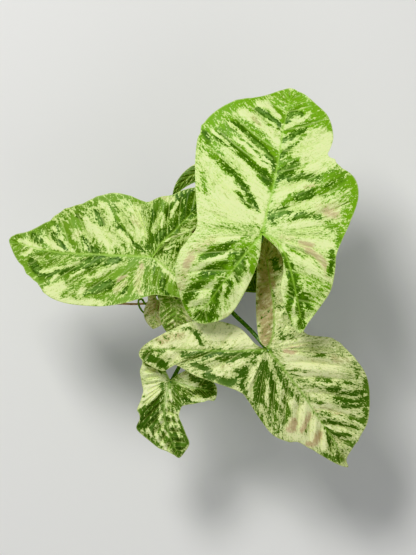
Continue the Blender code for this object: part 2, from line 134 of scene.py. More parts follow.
# The measured blades. Points are millimetres east and north of the petiole's top.
# form: pitch along the midrib, sag per mm2, fold, roll per mm2 across, lobe sag per mm2
BLADES = {
    "crown": {
        "at": (49.7, 21.1, 214.0),
        "heading": 79,
        "form": (-0.10, 0.0016, 0.10, 0.0014, 0.0035),
        "wave": (2.2, 9, 0.4),
        "mid": [(3.5, 16), (8, 33), (11.5, 50), (14.5, 67), (17.5, 84.5), (20.5, 99.5), (23, 109.5)],
        "first": [(11, -5), (20, -19.5), (25, -38), (29, -56), (31, -66)],
        "second": [(-12, -14), (-24, -29), (-35, -44), (-46, -58.5)],
        "margin": [
            (14, -14), (17, -28), (15, -45), (22, -67), (30.5, -79), (38, -69), (46.8, -57.3), (55, -44),
            (58, -28), (59, -16), (64.5, -2.5), (70, 9), (77, 29), (74.3, 45), (60, 57), (54, 64),
            (57.8, 78.5), (54.3, 95), (44, 106), (34, 114.5), (24.5, 119), (16.5, 117.5), (1, 112.2),
            (-15, 109.6), (-30, 104), (-43.5, 93.3), (-50.5, 80), (-53, 61.5), (-53, 39.5), (-52, 22),
            (-52, 6), (-59.5, -5), (-67, -18), (-69, -32), (-66, -46.5), (-61.5, -59.5), (-54, -69),
            (-43.5, -71), (-26, -64.5), (-13, -45), (-2.8, -21),
        ],
    },
    "left": {
        "at": (-37.8, 3.4, 186.0),
        "heading": 173,
        "form": (-0.12, 0.0014, 0.12, 0.0016, 0.002),
        "wave": (2.4, 8, 1.7),
        "mid": [(-17, 1), (-33.5, 1.5), (-50, 2.5), (-67.5, 3), (-84, 5), (-99.5, 8.5), (-109.5, 11.5)],
        "first": [(7.5, 11.5), (18, 21.5), (32, 36)],
        "second": [(10, -8), (20.5, -16), (30, -24)],
        "margin": [
            (9, 9.2), (20, 14.8), (33, 21.5), (43.5, 38), (43, 51.5), (35, 56), (24.5, 54), (15, 50),
            (6, 48.5), (-3, 44.5), (-8.5, 45.5), (-14.5, 48), (-19.5, 50), (-33, 52), (-48, 47.5),
            (-65, 41.3), (-78, 35.2), (-90, 27.5), (-102.5, 21.4), (-113, 18.9), (-118.5, 14.5),
            (-116.5, 7), (-113, -0.5), (-107, -8.5), (-100, -16.5), (-91.5, -25), (-84, -32.5),
            (-70.5, -37.5), (-52.5, -39.5), (-37, -39.5), (-20.5, -36.5), (-5.5, -32), (2, -30.5),
            (11, -31.5), (19.5, -32.5), (28.5, -34), (36.5, -31.5), (42, -20), (41.5, -3),
            (31.5, 19.8), (10, 9.3),
        ],
    },
    "front": {
        "at": (54.9, -71.1, 172.0),
        "heading": -55.5,
        "form": (-0.18, 0.0014, 0.06, 0.0028, 0.001),
        "wave": (2.0, 9, 0.9),
        "mid": [(9.5, -11), (19, -24), (28.5, -36), (37, -49), (45.5, -61.5), (54, -74), (61, -86.5)],
        "first": [(-19.5, -1.5), (-43, -1.5), (-69.5, -0.5), (-94, -0.5)],
        "second": [(5, 13), (5, 35.5), (2, 55), (-0.5, 74)],
        "margin": [
            (-9, 3.5), (-26, 19), (-58, 23), (-91.5, 8.5), (-104, -2), (-101, -10.5),
            (-85, -18.5), (-75, -13.5), (-57, -22.5), (-24, -34.3), (-15.8, -42), (-8.3, -54), (-2, -63),
            (5, -71), (15, -76), (26, -77.5), (35.8, -83.3), (45.6, -89), (55, -94.6), (62, -98),
            (68.5, -99.5), (67, -92.5), (72.5, -82), (78.5, -72), (84, -61), (85.5, -45.5),
            (84.2, -29.5), (79.8, -18), (71.5, -7.5), (64.5, 0), (54, 8.5), (31.5, 12.5), (27.5, 27.5),
            (24, 44), (18.5, 62.5), (9.5, 80), (-0.4, 91), (-6.6, 84), (-9, 52), (-9, 28), (-6.5, 8),
        ],
    },
    "low": {
        "at": (-24.2, -97.9, 144.0),
        "heading": -83.6,
        "form": (-0.25, 0.0020, 0.15, 0.0020, 0.003),
        "wave": (1.6, 7, 0.2),
        "bent_streaks": True,
        "mid": [(-2.5, -9), (-4.5, -17.5), (-5.5, -26), (-4.5, -34.5), (-2, -43), (1, -52), (4.5, -59.5)],
        "first": [(-6, 6.5), (-12, 13), (-17, 19)],
        "second": [(10.5, -3.5), (21.5, -6.5), (31, -8.5)],
        "margin": [
            (-3, 6.5), (-5.5, 12), (-9.5, 17.5), (-14.5, 23), (-21, 25), (-24.5, 21), (-23, 14.5),
            (-25, 8), (-24.3, 2), (-23.3, -4), (-22.5, -10), (-24.5, -16.5), (-27, -23.5),
            (-25.5, -31.5), (-28.5, -40), (-23.5, -46.2), (-17, -51.8), (-10.3, -57.2), (-3.5, -60),
            (2, -63), (7, -66), (12, -60.5), (15.5, -53.5), (12.8, -45.5), (9.8, -37.5), (7, -30.5),
            (8, -25), (10.5, -22), (14, -20.5), (18, -20), (22, -19), (26, -18), (28.5, -17),
            (31.5, -17), (34.5, -17.5), (37, -16), (38.5, -10.5), (37.5, -4), (30.5, 3), (19, 9.5),
            (7, 5.5),
        ],
    },
}

# Small corners and dents of the margin: place, half width, and how far outwards, in millimetres
NICKS = {
    "crown": [
        (-49, 88, 2.0, 1.6), (-50, 82, 2.4, -0.9), (53, 65, 2.6, -1.3), (57, 60, 2.2, 1.9),
        (65, 53, 2.6, -0.8), (-20, 108, 3.0, 0.7), (-8, 110, 2.6, -0.6), (30, 116, 2.0, -0.7),
        (-64, -12, 3.0, 0.8),
    ],
    "left": [
        (-72, 40, 3.0, 1.3), (-84, 30, 3.0, -1.3), (-57, 44, 4.0, -0.9), (-45, 49, 3.0, 0.8),
        (-108, -8, 2.4, -0.8), (-103, -13, 2.4, 0.9), (-95, -21, 2.4, -0.8), (-89, -28, 2.6, 0.8),
    ],
    "front": [
        (70, -8, 3.0, 0.9), (57, 7, 3.0, -0.9), (20, -76, 3.0, 0.8), (38, -86, 3.0, -0.6),
        (76, -77, 2.4, 0.7),
    ],
    "low": [
        (-24, -12, 2.0, 0.7), (-27, -24, 2.0, 0.8), (10, -22, 1.8, -0.7), (28, -17, 1.8, 0.8),
        (33, -17, 1.6, -0.8),
    ],
}

# Half an arrowhead blade of unit length, heading along +X, from the notch round to the last side vein
HALF_MARGIN = (
    (-0.08, 0.04), (-0.2, 0.09), (-0.33, 0.14), (-0.45, 0.22), (-0.5, 0.33), (-0.42, 0.43), (-0.3, 0.48),
    (-0.17, 0.49), (-0.04, 0.465), (0.06, 0.42), (0.15, 0.40), (0.24, 0.39), (0.33, 0.375), (0.44, 0.35),
    (0.55, 0.31), (0.65, 0.265), (0.75, 0.21), (0.84, 0.15), (0.92, 0.085), (0.975, 0.035),
)
HALF_RIB = ((-0.13, 0.11), (-0.26, 0.22), (-0.38, 0.30))

# The young blades. shape: heading, length, breadth and lobe factors, bluntness, curl of the midrib
YOUNG = {
    "rear": {"at": (26.0, 73.2, 160.0), "shape": (159, 58.0, 0.38, 0.8, 0.0, 88),
             "form": (-0.05, 0.004, 0.1, 0.004, 0.004), "wave": (1.0, 5, 0.3)},
    "inner": {"at": (21.6, -0.4, 150.0), "shape": (-30, 46.0, 0.95, 0.6, 0.0, 0),
              "form": (-0.10, 0.003, 0.15, 0.003, 0.004), "wave": (0.9, 5, 1.1)},
    "pale": {"at": (-34.2, -31.7, 164.0), "shape": (-100, 24.0, 0.74, 0.45, 1.3, 0),
             "form": (-0.35, 0.010, 0.2, 0.010, 0.01), "wave": (0.5, 4, 0.6)},
    "mottled": {"at": (-19.0, -31.2, 172.0), "shape": (-90, 33.0, 0.95, 0.5, 0.6, 0),
                "form": (-0.40, 0.009, 0.2, 0.009, 0.01), "wave": (0.5, 4, 2.0)},
}

# What a brush stroke sets: how green the leaf is, how bright that green is, and how pink the cream is
PAINTS = {
    "bright": (0.32, 1.0, 0.0),
    "flecked": (0.08, 1.0, 0.0),
    "green": (0.36, 0.62, 0.0),
    "deep": (0.42, 0.3, 0.0),
    "grey": (0.40, 0.0, 0.0),
    "streaked": (0.11, 0.6, 0.0),
    "mottle": (-0.02, 0.5, 0.0),
    "fleck": (-0.22, 0.45, 0.0),
    "pale": (-0.26, 0.6, 0.0),
    "cream": (-0.46, 0.5, 0.0),
    "clean": (-0.72, 0.5, 0.0),
    "blush": (-0.32, 0.6, 0.5),
    "pink": (-0.5, 0.8, 1.0),
    # shade_tan and shade_olive are painted shade: at their lowest tone the pink turns a dull brown, as in a
    # leaf's shadow
    "shade_tan": (-0.34, 0.0, 1.0),
    "shade_olive": (-0.16, 0.0, 0.8),
}

# Brush strokes, painted over one another: paint, half width in mm, points in mm from the petiole's top
STROKES = {
    "crown": [
        ("fleck", 200, (0, 0), (10, 60)),
        ("clean", 12, (-34, 26), (-24, 36), (-20, 18), (-12, 26)),
        ("cream", 8, (-42, 56), (-44, 40), (-44, 24)),
        ("clean", 4, (-2, 12), (-3, 28), (-8, 42)),
        ("streaked", 13, (-44, 82), (-24, 84), (-4, 84), (10, 94)),
        ("green", 7, (-32, 93), (-18, 85), (-6, 77), (4, 67), (11, 56)),
        ("green", 6, (-46, 86), (-34, 77), (-22, 68), (-10, 57), (0, 47), (7, 40)),
        ("deep", 4, (-22, 88), (-8, 76), (4, 64), (11, 54)),
        ("deep", 3.4, (-34, 77), (-20, 66), (-6, 53), (5, 42)),
        ("deep", 3.4, (-38, 64), (-30, 55), (-22, 47), (-14, 38)),
        ("deep", 2.6, (-16, 40), (-10, 31), (-4, 20)),
        ("deep", 1.8, (-20, 34), (-13, 26), (-9, 21)),
        ("grey", 2, (-14, 82), (0, 69), (8, 60)),
        ("grey", 2, (-32, 79), (-22, 71)),
        ("flecked", 6, (-44, 88), (-30, 98), (-12, 103), (4, 108)),
        ("bright", 3.6, (-47, 90), (-35, 100), (-15, 108), (4, 112)),
        ("bright", 2.4, (-42, 90), (-34, 95)),
        ("flecked", 5, (8, 110), (22, 106), (34, 98), (44, 90)),
        ("bright", 5, (14, 115), (28, 112), (42, 103), (51, 93), (54, 86)),
        ("streaked", 5, (-46, 80), (-40, 72), (-34, 64)),
        ("deep", 2.2, (-46, 83), (-43, 74)),
        ("clean", 3, (-15, 99), (-5, 92), (6, 83), (14, 73)),
        ("blush", 1.6, (-8, 94), (-2, 89)),
        ("cream", 1.2, (-27, 90), (-15, 80), (-3, 68), (8, 55)),
        ("cream", 1, (-24, 82), (-12, 71), (-2, 61)),
        ("clean", 1.6, (-18, 76), (-8, 67), (0, 58), (6, 50)),
        ("cream", 2.6, (-30, 68), (-18, 58), (-6, 46), (4, 32)),
        ("clean", 3, (-12, 50), (-4, 40), (3, 28)),
        ("cream", 1.2, (-40, 84), (-28, 74), (-20, 66)),
        ("clean", 2.8, (-2, 106), (7, 103), (14, 96)),
        ("grey", 2.4, (-3, 101), (6, 95), (14, 87)),
        ("green", 1.6, (8, 106), (15, 99), (18, 93)),
        ("cream", 1.2, (4, 93), (10, 88), (15, 80)),
        ("streaked", 3, (-48, 49), (-46, 42), (-45, 35)),
        ("pale", 2.4, (-52, 60), (-51, 30)),
        ("grey", 4, (17, 51), (26, 56)),
        ("green", 2.6, (14, 55), (22, 59), (30, 61)),
        ("deep", 2.2, (14, 44), (22, 49)),
        ("grey", 3, (22, 44), (32, 46), (43, 45)),
        ("streaked", 4, (16, 64), (26, 73), (36, 84)),
        ("grey", 1.6, (15, 63), (22, 69), (29, 73)),
        ("grey", 2, (17, 75), (27, 81), (37, 85)),
        ("green", 2.2, (20, 82), (32, 88), (45, 91)),
        ("cream", 1.4, (18, 71), (28, 78)),
        ("cream", 1.8, (20, 86), (30, 92), (38, 97)),
        ("grey", 2.6, (20, 92), (26, 98), (31, 98)),
        ("green", 1.4, (22, 100), (30, 104)),
        ("clean", 8, (40, 68), (48, 74), (50, 68)),
        ("cream", 4.4, (28, 66), (38, 74)),
        ("cream", 3, (40, 82), (50, 83)),
        ("clean", 4.6, (36, 55), (50, 55)),
        ("streaked", 1.8, (31, 52), (36, 58)),
        ("clean", 2.6, (55, 80), (55, 68), (57, 58)),
        ("clean", 3.6, (13, 30), (22, 37), (34, 38)),
        ("blush", 3, (35, 37), (41, 38)),
        ("mottle", 2, (24, 32), (36, 33)),
        ("green", 4.4, (50, 45), (60, 48), (68, 46)),
        ("fleck", 2.4, (50, 56), (60, 54)),
        ("grey", 4.6, (9, 13), (20, 21)),
        ("green", 3, (17, 24), (28, 31), (36, 30)),
        ("grey", 3.4, (30, 29), (42, 34), (56, 38)),
        ("green", 3.4, (46, 34), (58, 37), (68, 41)),
        ("grey", 2.2, (26, 14), (36, 16), (46, 14)),
        ("cream", 2.6, (22, 22), (32, 24), (42, 25)),
        ("blush", 5, (44, 22), (58, 20)),
        ("pink", 2.6, (50, 18), (60, 15)),
        ("bright", 4.4, (74, 44), (75, 30), (72, 12), (66, -2)),
        ("flecked", 3.4, (66, 32), (66, 16), (64, 4)),
        ("clean", 3.4, (18, 7), (36, 8), (50, 7)),
        ("fleck", 3.0, (12, 3), (30, 2), (56, 6)),
        ("mottle", 1.6, (10, 12), (24, 12)),
        ("green", 2.2, (50, 8), (58, 6)),
        ("green", 2.6, (62, 2), (61, -8)),
        ("fleck", 14, (30, -22), (46, -30)),
        ("mottle", 3, (20, -8), (32, -16), (44, -22)),
        ("clean", 4.0, (20, -9), (34, -22), (44, -34)),
        ("clean", 3.6, (34, -6), (56, -10)),
        ("blush", 2.2, (14, -2), (26, -3)),
        ("pink", 2.4, (30, -7), (40, -9)),
        ("pink", 2.6, (36, -12), (44, -18), (50, -25)),
        ("blush", 2.6, (50, -28), (53, -38), (53, -46)),
        ("deep", 2.8, (56, -13), (56, -22), (54, -30)),
        ("streaked", 1.6, (20, -9), (34, -18)),
        ("streaked", 4, (36, -34), (50, -42)),
        ("clean", 2.2, (12, -16), (17, -28), (16, -44), (16, -52)),
        ("deep", 2.7, (18, -16), (22, -28), (24, -42), (21, -56), (20, -74)),
        ("deep", 2.8, (24, -28), (28, -42), (30, -56), (32, -72)),
        ("cream", 1.1, (26, -54), (25, -66), (27, -76)),
        ("mottle", 4.0, (32, -38), (44, -44)),
        ("deep", 3.4, (35, -49), (38, -58)),
        ("mottle", 3.4, (42, -52), (48, -48)),
        ("mottle", 5.0, (-12, 3), (-30, 5)),
        ("pale", 4.0, (-30, 0), (-52, 4)),
        ("cream", 3.6, (-40, 12), (-50, 14)),
        ("clean", 3.0, (-22, -3), (-40, -4)),
        ("blush", 4.6, (-38, -7), (-52, -10), (-58, -18)),
        ("cream", 4.4, (-62, -12), (-66, -26), (-64, -44), (-61, -52)),
        ("pink", 3.0, (-56, -17), (-61, -28)),
        ("blush", 4.0, (-62, -30), (-64, -42)),
        ("deep", 4, (-15, -7), (-28, -9), (-38, -13), (-47, -18)),
        ("deep", 4.8, (-16, -16), (-30, -24), (-42, -31), (-52, -40), (-58, -48), (-60, -55)),
        ("clean", 1.6, (-26, -14), (-34, -18), (-46, -23), (-54, -28)),
        ("cream", 2.2, (-34, -35), (-43, -42), (-50, -50), (-57, -58)),
        ("deep", 3.2, (-32, -36), (-37, -46), (-38, -56), (-42, -66)),
        ("deep", 1.7, (-26, -38), (-28, -50)),
        ("cream", 1.2, (-31, -40), (-32, -54)),
        ("grey", 4.4, (-20, -15), (-18, -35)),
        ("green", 2.2, (-24, -18), (-26, -30)),
        ("bright", 2.8, (-8, -6), (-7, -20), (-8, -30)),
        ("flecked", 3.4, (-14, -6), (-20, -10)),
        ("clean", 4.4, (-9, -36), (-19, -46), (-21, -58), (-32, -68)),
        ("blush", 2.0, (-20, -60), (-32, -68)),
        ("deep", 3.8, (-50, -64), (-42, -67), (-36, -66)),
        ("green", 2.4, (-62, -54), (-58, -64)),
        ("mottle", 2.4, (-3, -3), (-12, -5)),
        ("bright", 0.9, (2, -1), (8, -7), (13, -14), (16, -23)),
        ("bright", 2.0, (0, 0), (1, 3)),
    ],
    "left": [
        ("mottle", 200, (0, 0), (-60, 0)),
        ("streaked", 18, (-20, -20), (-60, -20), (-90, -8)),
        ("fleck", 10, (-20, 24), (-50, 24), (-70, 18)),
        ("bright", 4.6, (-116, 14), (-110, 2), (-101, -11), (-93, -19)),
        ("grey", 3.4, (-100, -4), (-92, -14)),
        ("green", 3.0, (-112, 18), (-96, 22), (-84, 28)),
        ("streaked", 3.4, (-76, 35), (-62, 39), (-48, 44)),
        ("bright", 2.8, (-44, 47), (-32, 49), (-18, 48), (-6, 45)),
        ("grey", 3.2, (-97, 17), (-94, 14)),
        ("bright", 5.2, (-70, 24), (-63, 29), (-60, 24)),
        ("green", 2.2, (-72, 18), (-64, 10), (-60, 3)),
        ("grey", 1.8, (-62, 34), (-57, 31)),
        ("clean", 2.6, (-55, 31), (-46, 21), (-34, 8)),
        ("cream", 1.6, (-50, 36), (-38, 20), (-24, 6)),
        ("blush", 3.2, (-62, 20), (-57, 16), (-54, 12)),
        ("grey", 2.2, (-57, 16), (-52, 10), (-46, 4)),
        ("clean", 2.2, (-88, 14), (-78, 8), (-64, 4)),
        ("grey", 1.8, (-82, 19), (-76, 11), (-70, 6)),
        ("clean", 1.7, (-110, 14), (-100, 11), (-92, 6)),
        ("clean", 1.9, (-106, 3), (-100, 7)),
        ("grey", 2.6, (-46, 36), (-42, 28)),
        ("cream", 2.6, (-42, 43), (-34, 36), (-30, 30)),
        ("green", 1.3, (-34, 40), (-26, 26), (-12, 8)),
        ("grey", 1.4, (-30, 28), (-18, 14), (-8, 4)),
        ("clean", 1.5, (-26, 20), (-18, 12)),
        ("deep", 1.3, (-19, 28), (-11, 22)),
        ("fleck", 3.5, (-24, 44), (-22, 34)),
        ("cream", 3.6, (-14, 40), (-11, 30), (-9, 18)),
        ("blush", 3.0, (-16, 32), (-12, 26)),
        ("deep", 2.2, (-2, 14), (0, 26), (1, 38)),
        ("deep", 3, (-3, 8), (0, 14)),
        ("green", 3, (2, 40), (8, 44)),
        ("deep", 4.6, (6, 14), (16, 24), (26, 33), (34, 40)),
        ("deep", 5.5, (20, 44), (30, 50), (34, 52)),
        ("deep", 4.0, (12, 36), (22, 40)),
        ("pale", 1.5, (1, 20), (3, 30), (6, 36)),
        ("cream", 1.1, (7, 25), (10, 34)),
        ("cream", 1.1, (16, 34), (20, 44)),
        ("grey", 1.4, (4, 14), (8, 20)),
        ("blush", 2.4, (8, 48), (16, 47)),
        ("cream", 0.9, (8, 11), (16, 15.5), (22, 18.5), (28, 21)),
        ("deep", 4, (4, 4), (14, 9), (26, 10)),
        ("mottle", 1.6, (10, 8), (20, 14), (28, 16)),
        ("cream", 0.8, (8, 5), (18, 9), (27, 10)),
        ("mottle", 3, (12, -3), (24, 0)),
        ("clean", 1.4, (4, -4), (10, -10), (18, -18), (22, -21)),
        ("green", 4.6, (2, -12), (6, -20), (10, -28)),
        ("grey", 3.0, (8, -20), (12, -29)),
        ("bright", 3.4, (14, -24), (22, -29)),
        ("green", 1.8, (-100, 2), (-84, 4), (-60, 2), (-40, 0)),
        ("grey", 3.6, (-30, -2), (-50, -4), (-68, -9), (-84, -14)),
        ("bright", 4.2, (-12, -6), (-26, -12), (-44, -20), (-58, -26)),
        ("grey", 4.2, (-36, -22), (-46, -26), (-54, -30)),
        ("grey", 2.6, (-22, -24), (-24, -28)),
        ("bright", 2.0, (-30, -30), (-46, -33), (-54, -33)),
        ("green", 2.4, (-64, -14), (-78, -17), (-92, -18)),
        ("cream", 1.6, (-26, -5), (-40, -11), (-54, -16)),
        ("cream", 1.3, (-60, -4), (-78, -9), (-92, -12)),
        ("cream", 1.2, (-56, -11), (-68, -16)),
        ("clean", 1.4, (-76, -14), (-82, -18)),
        ("clean", 3.6, (-74, -24), (-85, -27), (-78, -31)),
        ("clean", 2.2, (-78, -35), (-60, -37), (-42, -37)),
        ("clean", 2.2, (-56, -25), (-60, -31)),
        ("cream", 1.2, (-36, -10), (-46, -16)),
        ("pink", 1.8, (-22, -16), (-29, -19)),
        ("blush", 2.6, (-22, -22), (-30, -27)),
        ("pink", 2.0, (-9, -6), (-8, -11)),
        ("blush", 3.4, (-10, -12), (-13, -24), (-10, -28)),
        ("bright", 1.3, (-16, -14), (-18, -29)),
        ("green", 1.5, (-5, -8), (-6, -18)),
        ("bright", 2.0, (-30, -35), (-12, -33), (0, -31)),
        ("bright", 1.0, (-10, 0), (-24, 1), (-40, 1)),
    ],
    "front": [
        ("fleck", 200, (0, 0), (40, -40)),
        ("clean", 9, (-84, 8), (-50, 16), (-18, 10)),
        ("blush", 4.0, (-86, 8), (-70, 12)),
        ("mottle", 3.2, (-78, 15), (-64, 18), (-52, 8)),
        ("deep", 1.2, (-62, 16), (-56, 9), (-52, 4)),
        ("streaked", 3.4, (-98, -3), (-84, -3), (-76, -2)),
        ("clean", 3.0, (-78, -3), (-74, -6)),
        ("grey", 2.8, (-70, -4), (-58, -5), (-46, -4)),
        ("grey", 2.4, (-42, -4), (-30, -5), (-22, -3)),
        ("deep", 1.8, (-22, -6), (-12, -4), (-5, -3)),
        ("green", 1.6, (-40, -9), (-24, -8)),
        ("deep", 3.0, (-99, -6), (-90, -10), (-83, -14)),
        ("mottle", 3, (-66, -9), (-50, -10)),
        ("grey", 2.4, (-60, -13), (-46, -16)),
        ("cream", 2.6, (-44, -14), (-34, -15), (-24, -14)),
        ("blush", 1.8, (-36, -14), (-28, -12)),
        ("cream", 2.4, (-46, -20), (-34, -22)),
        ("grey", 3.4, (-48, -22), (-38, -27), (-26, -27)),
        ("grey", 3.0, (-24, -18), (-18, -24)),
        ("streaked", 9, (-12, -16), (-10, -34), (4, -52)),
        ("cream", 2.2, (-11, -16), (-14, -30), (-12, -38)),
        ("deep", 2.0, (-17, -14), (-21, -24), (-20, -32)),
        ("cream", 1.8, (-18, -10), (-24, -12)),
        ("deep", 3.4, (-3, -12), (-5, -20), (-7, -32), (-6, -44)),
        ("deep", 2.2, (1, -18), (5, -30), (6, -48)),
        ("deep", 1.4, (-1, -10), (0, -24)),
        ("cream", 1.0, (2, -8), (5, -17)),
        ("cream", 1.0, (-6, -6), (-8, -15)),
        ("cream", 1.4, (-1, -28), (1, -44)),
        ("cream", 1.4, (9, -22), (12, -34), (12, -46)),
        ("streaked", 3.0, (2, -52), (9, -66)),
        ("pale", 2.6, (-6, -48), (-1, -60)),
        ("streaked", 2.4, (-10, -50), (-4, -60)),
        ("green", 1.8, (14, -42), (18, -52), (15, -62)),
        ("streaked", 4, (7, -12), (12, -24), (19, -36), (26, -44)),
        ("deep", 1.4, (7, -14), (13, -26), (21, -38)),
        ("clean", 3.0, (21, -44), (23, -56)),
        ("clean", 5.5, (33, -48), (28, -60), (22, -71)),
        ("clean", 5.5, (40, -60), (36, -70), (30, -79)),
        ("clean", 4.0, (47, -66), (46, -80)),
        ("pink", 3.6, (22, -60), (20, -66)),
        ("pink", 2.4, (35, -55), (31, -64), (29, -68)),
        ("pink", 3.2, (44, -71), (40, -78), (35, -79)),
        ("mottle", 1.2, (34, -64), (32, -69)),
        ("streaked", 3.4, (52, -72), (57, -84), (62, -92)),
        ("green", 3.0, (48, -89), (60, -94)),
        ("deep", 1.6, (50, -70), (53, -78)),
        ("blush", 1.6, (55, -70), (60, -78)),
        ("fleck", 18, (52, -24), (64, -40), (66, -58)),
        ("clean", 5.0, (16, -7), (36, -13), (58, -13)),
        ("clean", 2.6, (24, -21), (44, -21), (60, -22)),
        ("cream", 2.4, (34, -36), (48, -38)),
        ("clean", 2.8, (38, -46), (56, -50), (68, -54)),
        ("cream", 2.0, (50, -64), (66, -68)),
        ("green", 1.4, (38, -7), (47, -5)),
        ("green", 1.2, (22, -17), (32, -18)),
        ("green", 1.5, (41, -24), (52, -26)),
        ("mottle", 2.0, (20, -22), (32, -28), (40, -30)),
        ("deep", 2.6, (52, -33), (60, -32)),
        ("deep", 1.4, (63, -28), (70, -29)),
        ("deep", 1.7, (58, -38), (70, -37), (82, -36)),
        ("deep", 2.3, (56, -42), (66, -44), (80, -42)),
        ("deep", 1.8, (62, -47), (72, -49), (82, -47)),
        ("streaked", 2.6, (72, -14), (76, -24)),
        ("green", 2.2, (82, -28), (84, -38), (83, -52), (81, -62)),
        ("green", 1.8, (70, -56), (79, -60)),
        ("green", 1.2, (42, -52), (52, -56)),
        ("deep", 1.3, (46, -60), (60, -63), (76, -66)),
        ("deep", 1.6, (48, -65), (56, -70), (70, -73)),
        ("streaked", 1.8, (36, -42), (46, -45)),
        ("green", 2.4, (66, -79), (71, -80)),
        ("pink", 1.8, (14, -2), (22, -3)),
        ("pink", 1.4, (18, 2), (32, 5)),
        ("blush", 2.6, (54, -8), (66, -10)),
        ("blush", 1.8, (40, -50), (62, -53)),
        ("cream", 3.4, (10, 5), (30, 7), (50, 5)),
        ("mottle", 2.2, (10, 9), (20, 10)),
        ("green", 1.6, (12, 14), (14, 8)),
        # The basal lobe lying in the crown's shadow: shade_tan and shade_olive paint that shadow over its
        # pink and cream
        ("shade_tan", 8, (2, 92), (0, 60), (-2, 30)),
        ("shade_tan", 5.5, (-1, 26), (-1, 7)),
        ("pale", 3.0, (12, 18), (11, 36), (9, 54)),
        ("mottle", 1.4, (4, 46), (6, 34)),
        ("shade_olive", 9, (2, 92), (4, 82), (5, 72)),
        ("deep", 2.4, (6, 72), (8, 66)),
        ("mottle", 2.2, (17, 20), (18, 36)),
        ("bright", 1.6, (0, 0), (-8, -2)),
        ("bright", 1.3, (0, 0), (3, -2)),
    ],
    "low": [
        ("streaked", 200, (0, 0), (0, -40)),
        ("cream", 3.0, (-24, 24), (-24, 16), (-22, 8)),
        ("cream", 5, (-21, 4), (-13, 3), (-7, 2)),
        ("clean", 5.6, (-20, -8), (-14, -8), (-12, -11)),
        ("clean", 2, (-22, -17), (-16, -17)),
        ("green", 1.2, (-6, -2), (-7, -10)),
        # Deep green under the front blade's lobe, where the blade rolls: partly its own colour, partly
        # painted shade of that lobe
        ("deep", 3.4, (-21, 19), (-14, 14), (-8, 9)),
        ("deep", 2.2, (-12, 17), (-6, 12)),
        ("blush", 1.8, (-16, 9), (-12, 7)),
        ("deep", 2, (-7, -12), (-12, -18)),
        ("pale", 2.6, (-26, -22), (-21, -19), (-17, -18)),
        ("deep", 5.6, (-14, -23), (-20, -29), (-24, -37)),
        ("grey", 3, (-12, -30), (-15, -38), (-16, -46)),
        ("cream", 1.6, (-20, -41), (-16, -46)),
        ("clean", 1.1, (-3, -6), (-4, -14), (-4, -22)),
        ("clean", 0.9, (-1, -8), (1, -18)),
        ("mottle", 2.4, (-8, -22), (-8, -34), (-4, -46)),
        ("cream", 1.1, (-9, -26), (-8, -36), (-3, -48)),
        ("cream", 1, (-1, -26), (1, -38), (6, -50)),
        ("cream", 1, (4, -24), (5, -34), (9, -44)),
        ("clean", 0.9, (7, -22), (7, -30)),
        ("cream", 1.3, (-12, -42), (-9, -52), (-4, -58)),
        ("deep", 1.6, (2, -40), (6, -52), (8, -60)),
        ("deep", 1.4, (-5, -30), (-2, -42), (2, -54)),
        ("green", 2.4, (9, -36), (12, -46), (14, -54)),
        ("green", 2.2, (4, -8), (6, -16), (6, -24)),
        ("cream", 3.2, (9, 5), (13, 3)),
        ("blush", 1.6, (9, 3), (12, 6)),
        ("cream", 3.2, (7, -3), (14, -4), (20, -5)),
        ("green", 2, (3, -3), (8, -6)),
        ("streaked", 2.6, (10, -10), (18, -12)),
        ("deep", 1.6, (11, -15), (16, -18)),
        # Along the front blade's edge: the grey stroke is painted shadow of that blade, and the deep one is
        # the lobe's deep green darkened by painted shade
        ("deep", 4.6, (24, -9), (31, -5), (31, -12)),
        ("grey", 3, (18, 2), (28, -1)),
        ("cream", 1.5, (18, -16), (27, -16), (37, -14)),
        ("pale", 2, (19, -14), (24, -13)),
        ("bright", 1.3, (0, 1), (0, -3)),
    ],
    "rear": [
        ("deep", 200, (0, 0), (-30, 10)),
        ("grey", 5, (-10, 8), (-26, 10), (-40, 4)),
        ("cream", 0.9, (-28, 6), (-44, 2)),
    ],
    "inner": [("deep", 200, (0, 0), (30, -20))],
    "pale": [
        ("blush", 200, (0, 0), (0, -10)),
        # shade_tan paints the left blade's shadow across this blade's top, near its petiole
        ("shade_tan", 3.0, (0, 2), (0, -5)),
        ("pale", 3.0, (-6, -14), (-2, -20)),
        ("bright", 0.9, (-10, -21), (0, -25), (6, -24)),
    ],
    "mottled": [
        ("streaked", 200, (0, 0), (0, -20)),
        ("cream", 3.4, (9, -4), (11, -16)),
        ("bright", 2.6, (-6, -4), (-2, -12)),
        ("cream", 1.2, (-4, -16), (2, -24)),
    ],
}

# Leaf colours, sRGB: cream, its greener edge, light green, greyed green, deep green, bright green, pink, rib
# The young, inner, front and low blades lie in other blades' shade, and their colours are set lighter to make
# up for it: painted light over their own colours
FOLIAGE = {
    "crown": ("ecf8b1", "c0d780", "93b952", "6f963f", "315806", "74a625", "c6ad88", "a2cc56"),
    "left": ("e9f4ae", "bfd47e", "8db151", "6c8f42", "2a5006", "779e38", "c2ac86", "a6cb5c"),
    "front": ("f1f5b8", "c1ce84", "879f58", "627f40", "365a10", "58792c", "c6a582", "8fb450"),
    "low": ("f2f8be", "c8d78a", "8aa55a", "698845", "345516", "638636", "c6ac86", "9fbf66"),
    "young": ("eaecb3", "c6d088", "a0b766", "809b56", "537331", "759b3f", "c8aa88", "adc66c"),
    "inner": ("d2e08e", "b0ca6a", "7c9e4c", "5f7f3e", "24480a", "527826", "91915a", "759744"),
}
UNDERSIDE = ("bcc992", "a8bd80", "98b070", "86a468", "6f9452", "7ba557", "bfa98a", "a9c274")
SHADE_TAN = "9b7c55"  # painted shade: pink and cream dulled to brown as they look in a leaf's shadow, on the basal lobe under the crown and the pale young blade's top
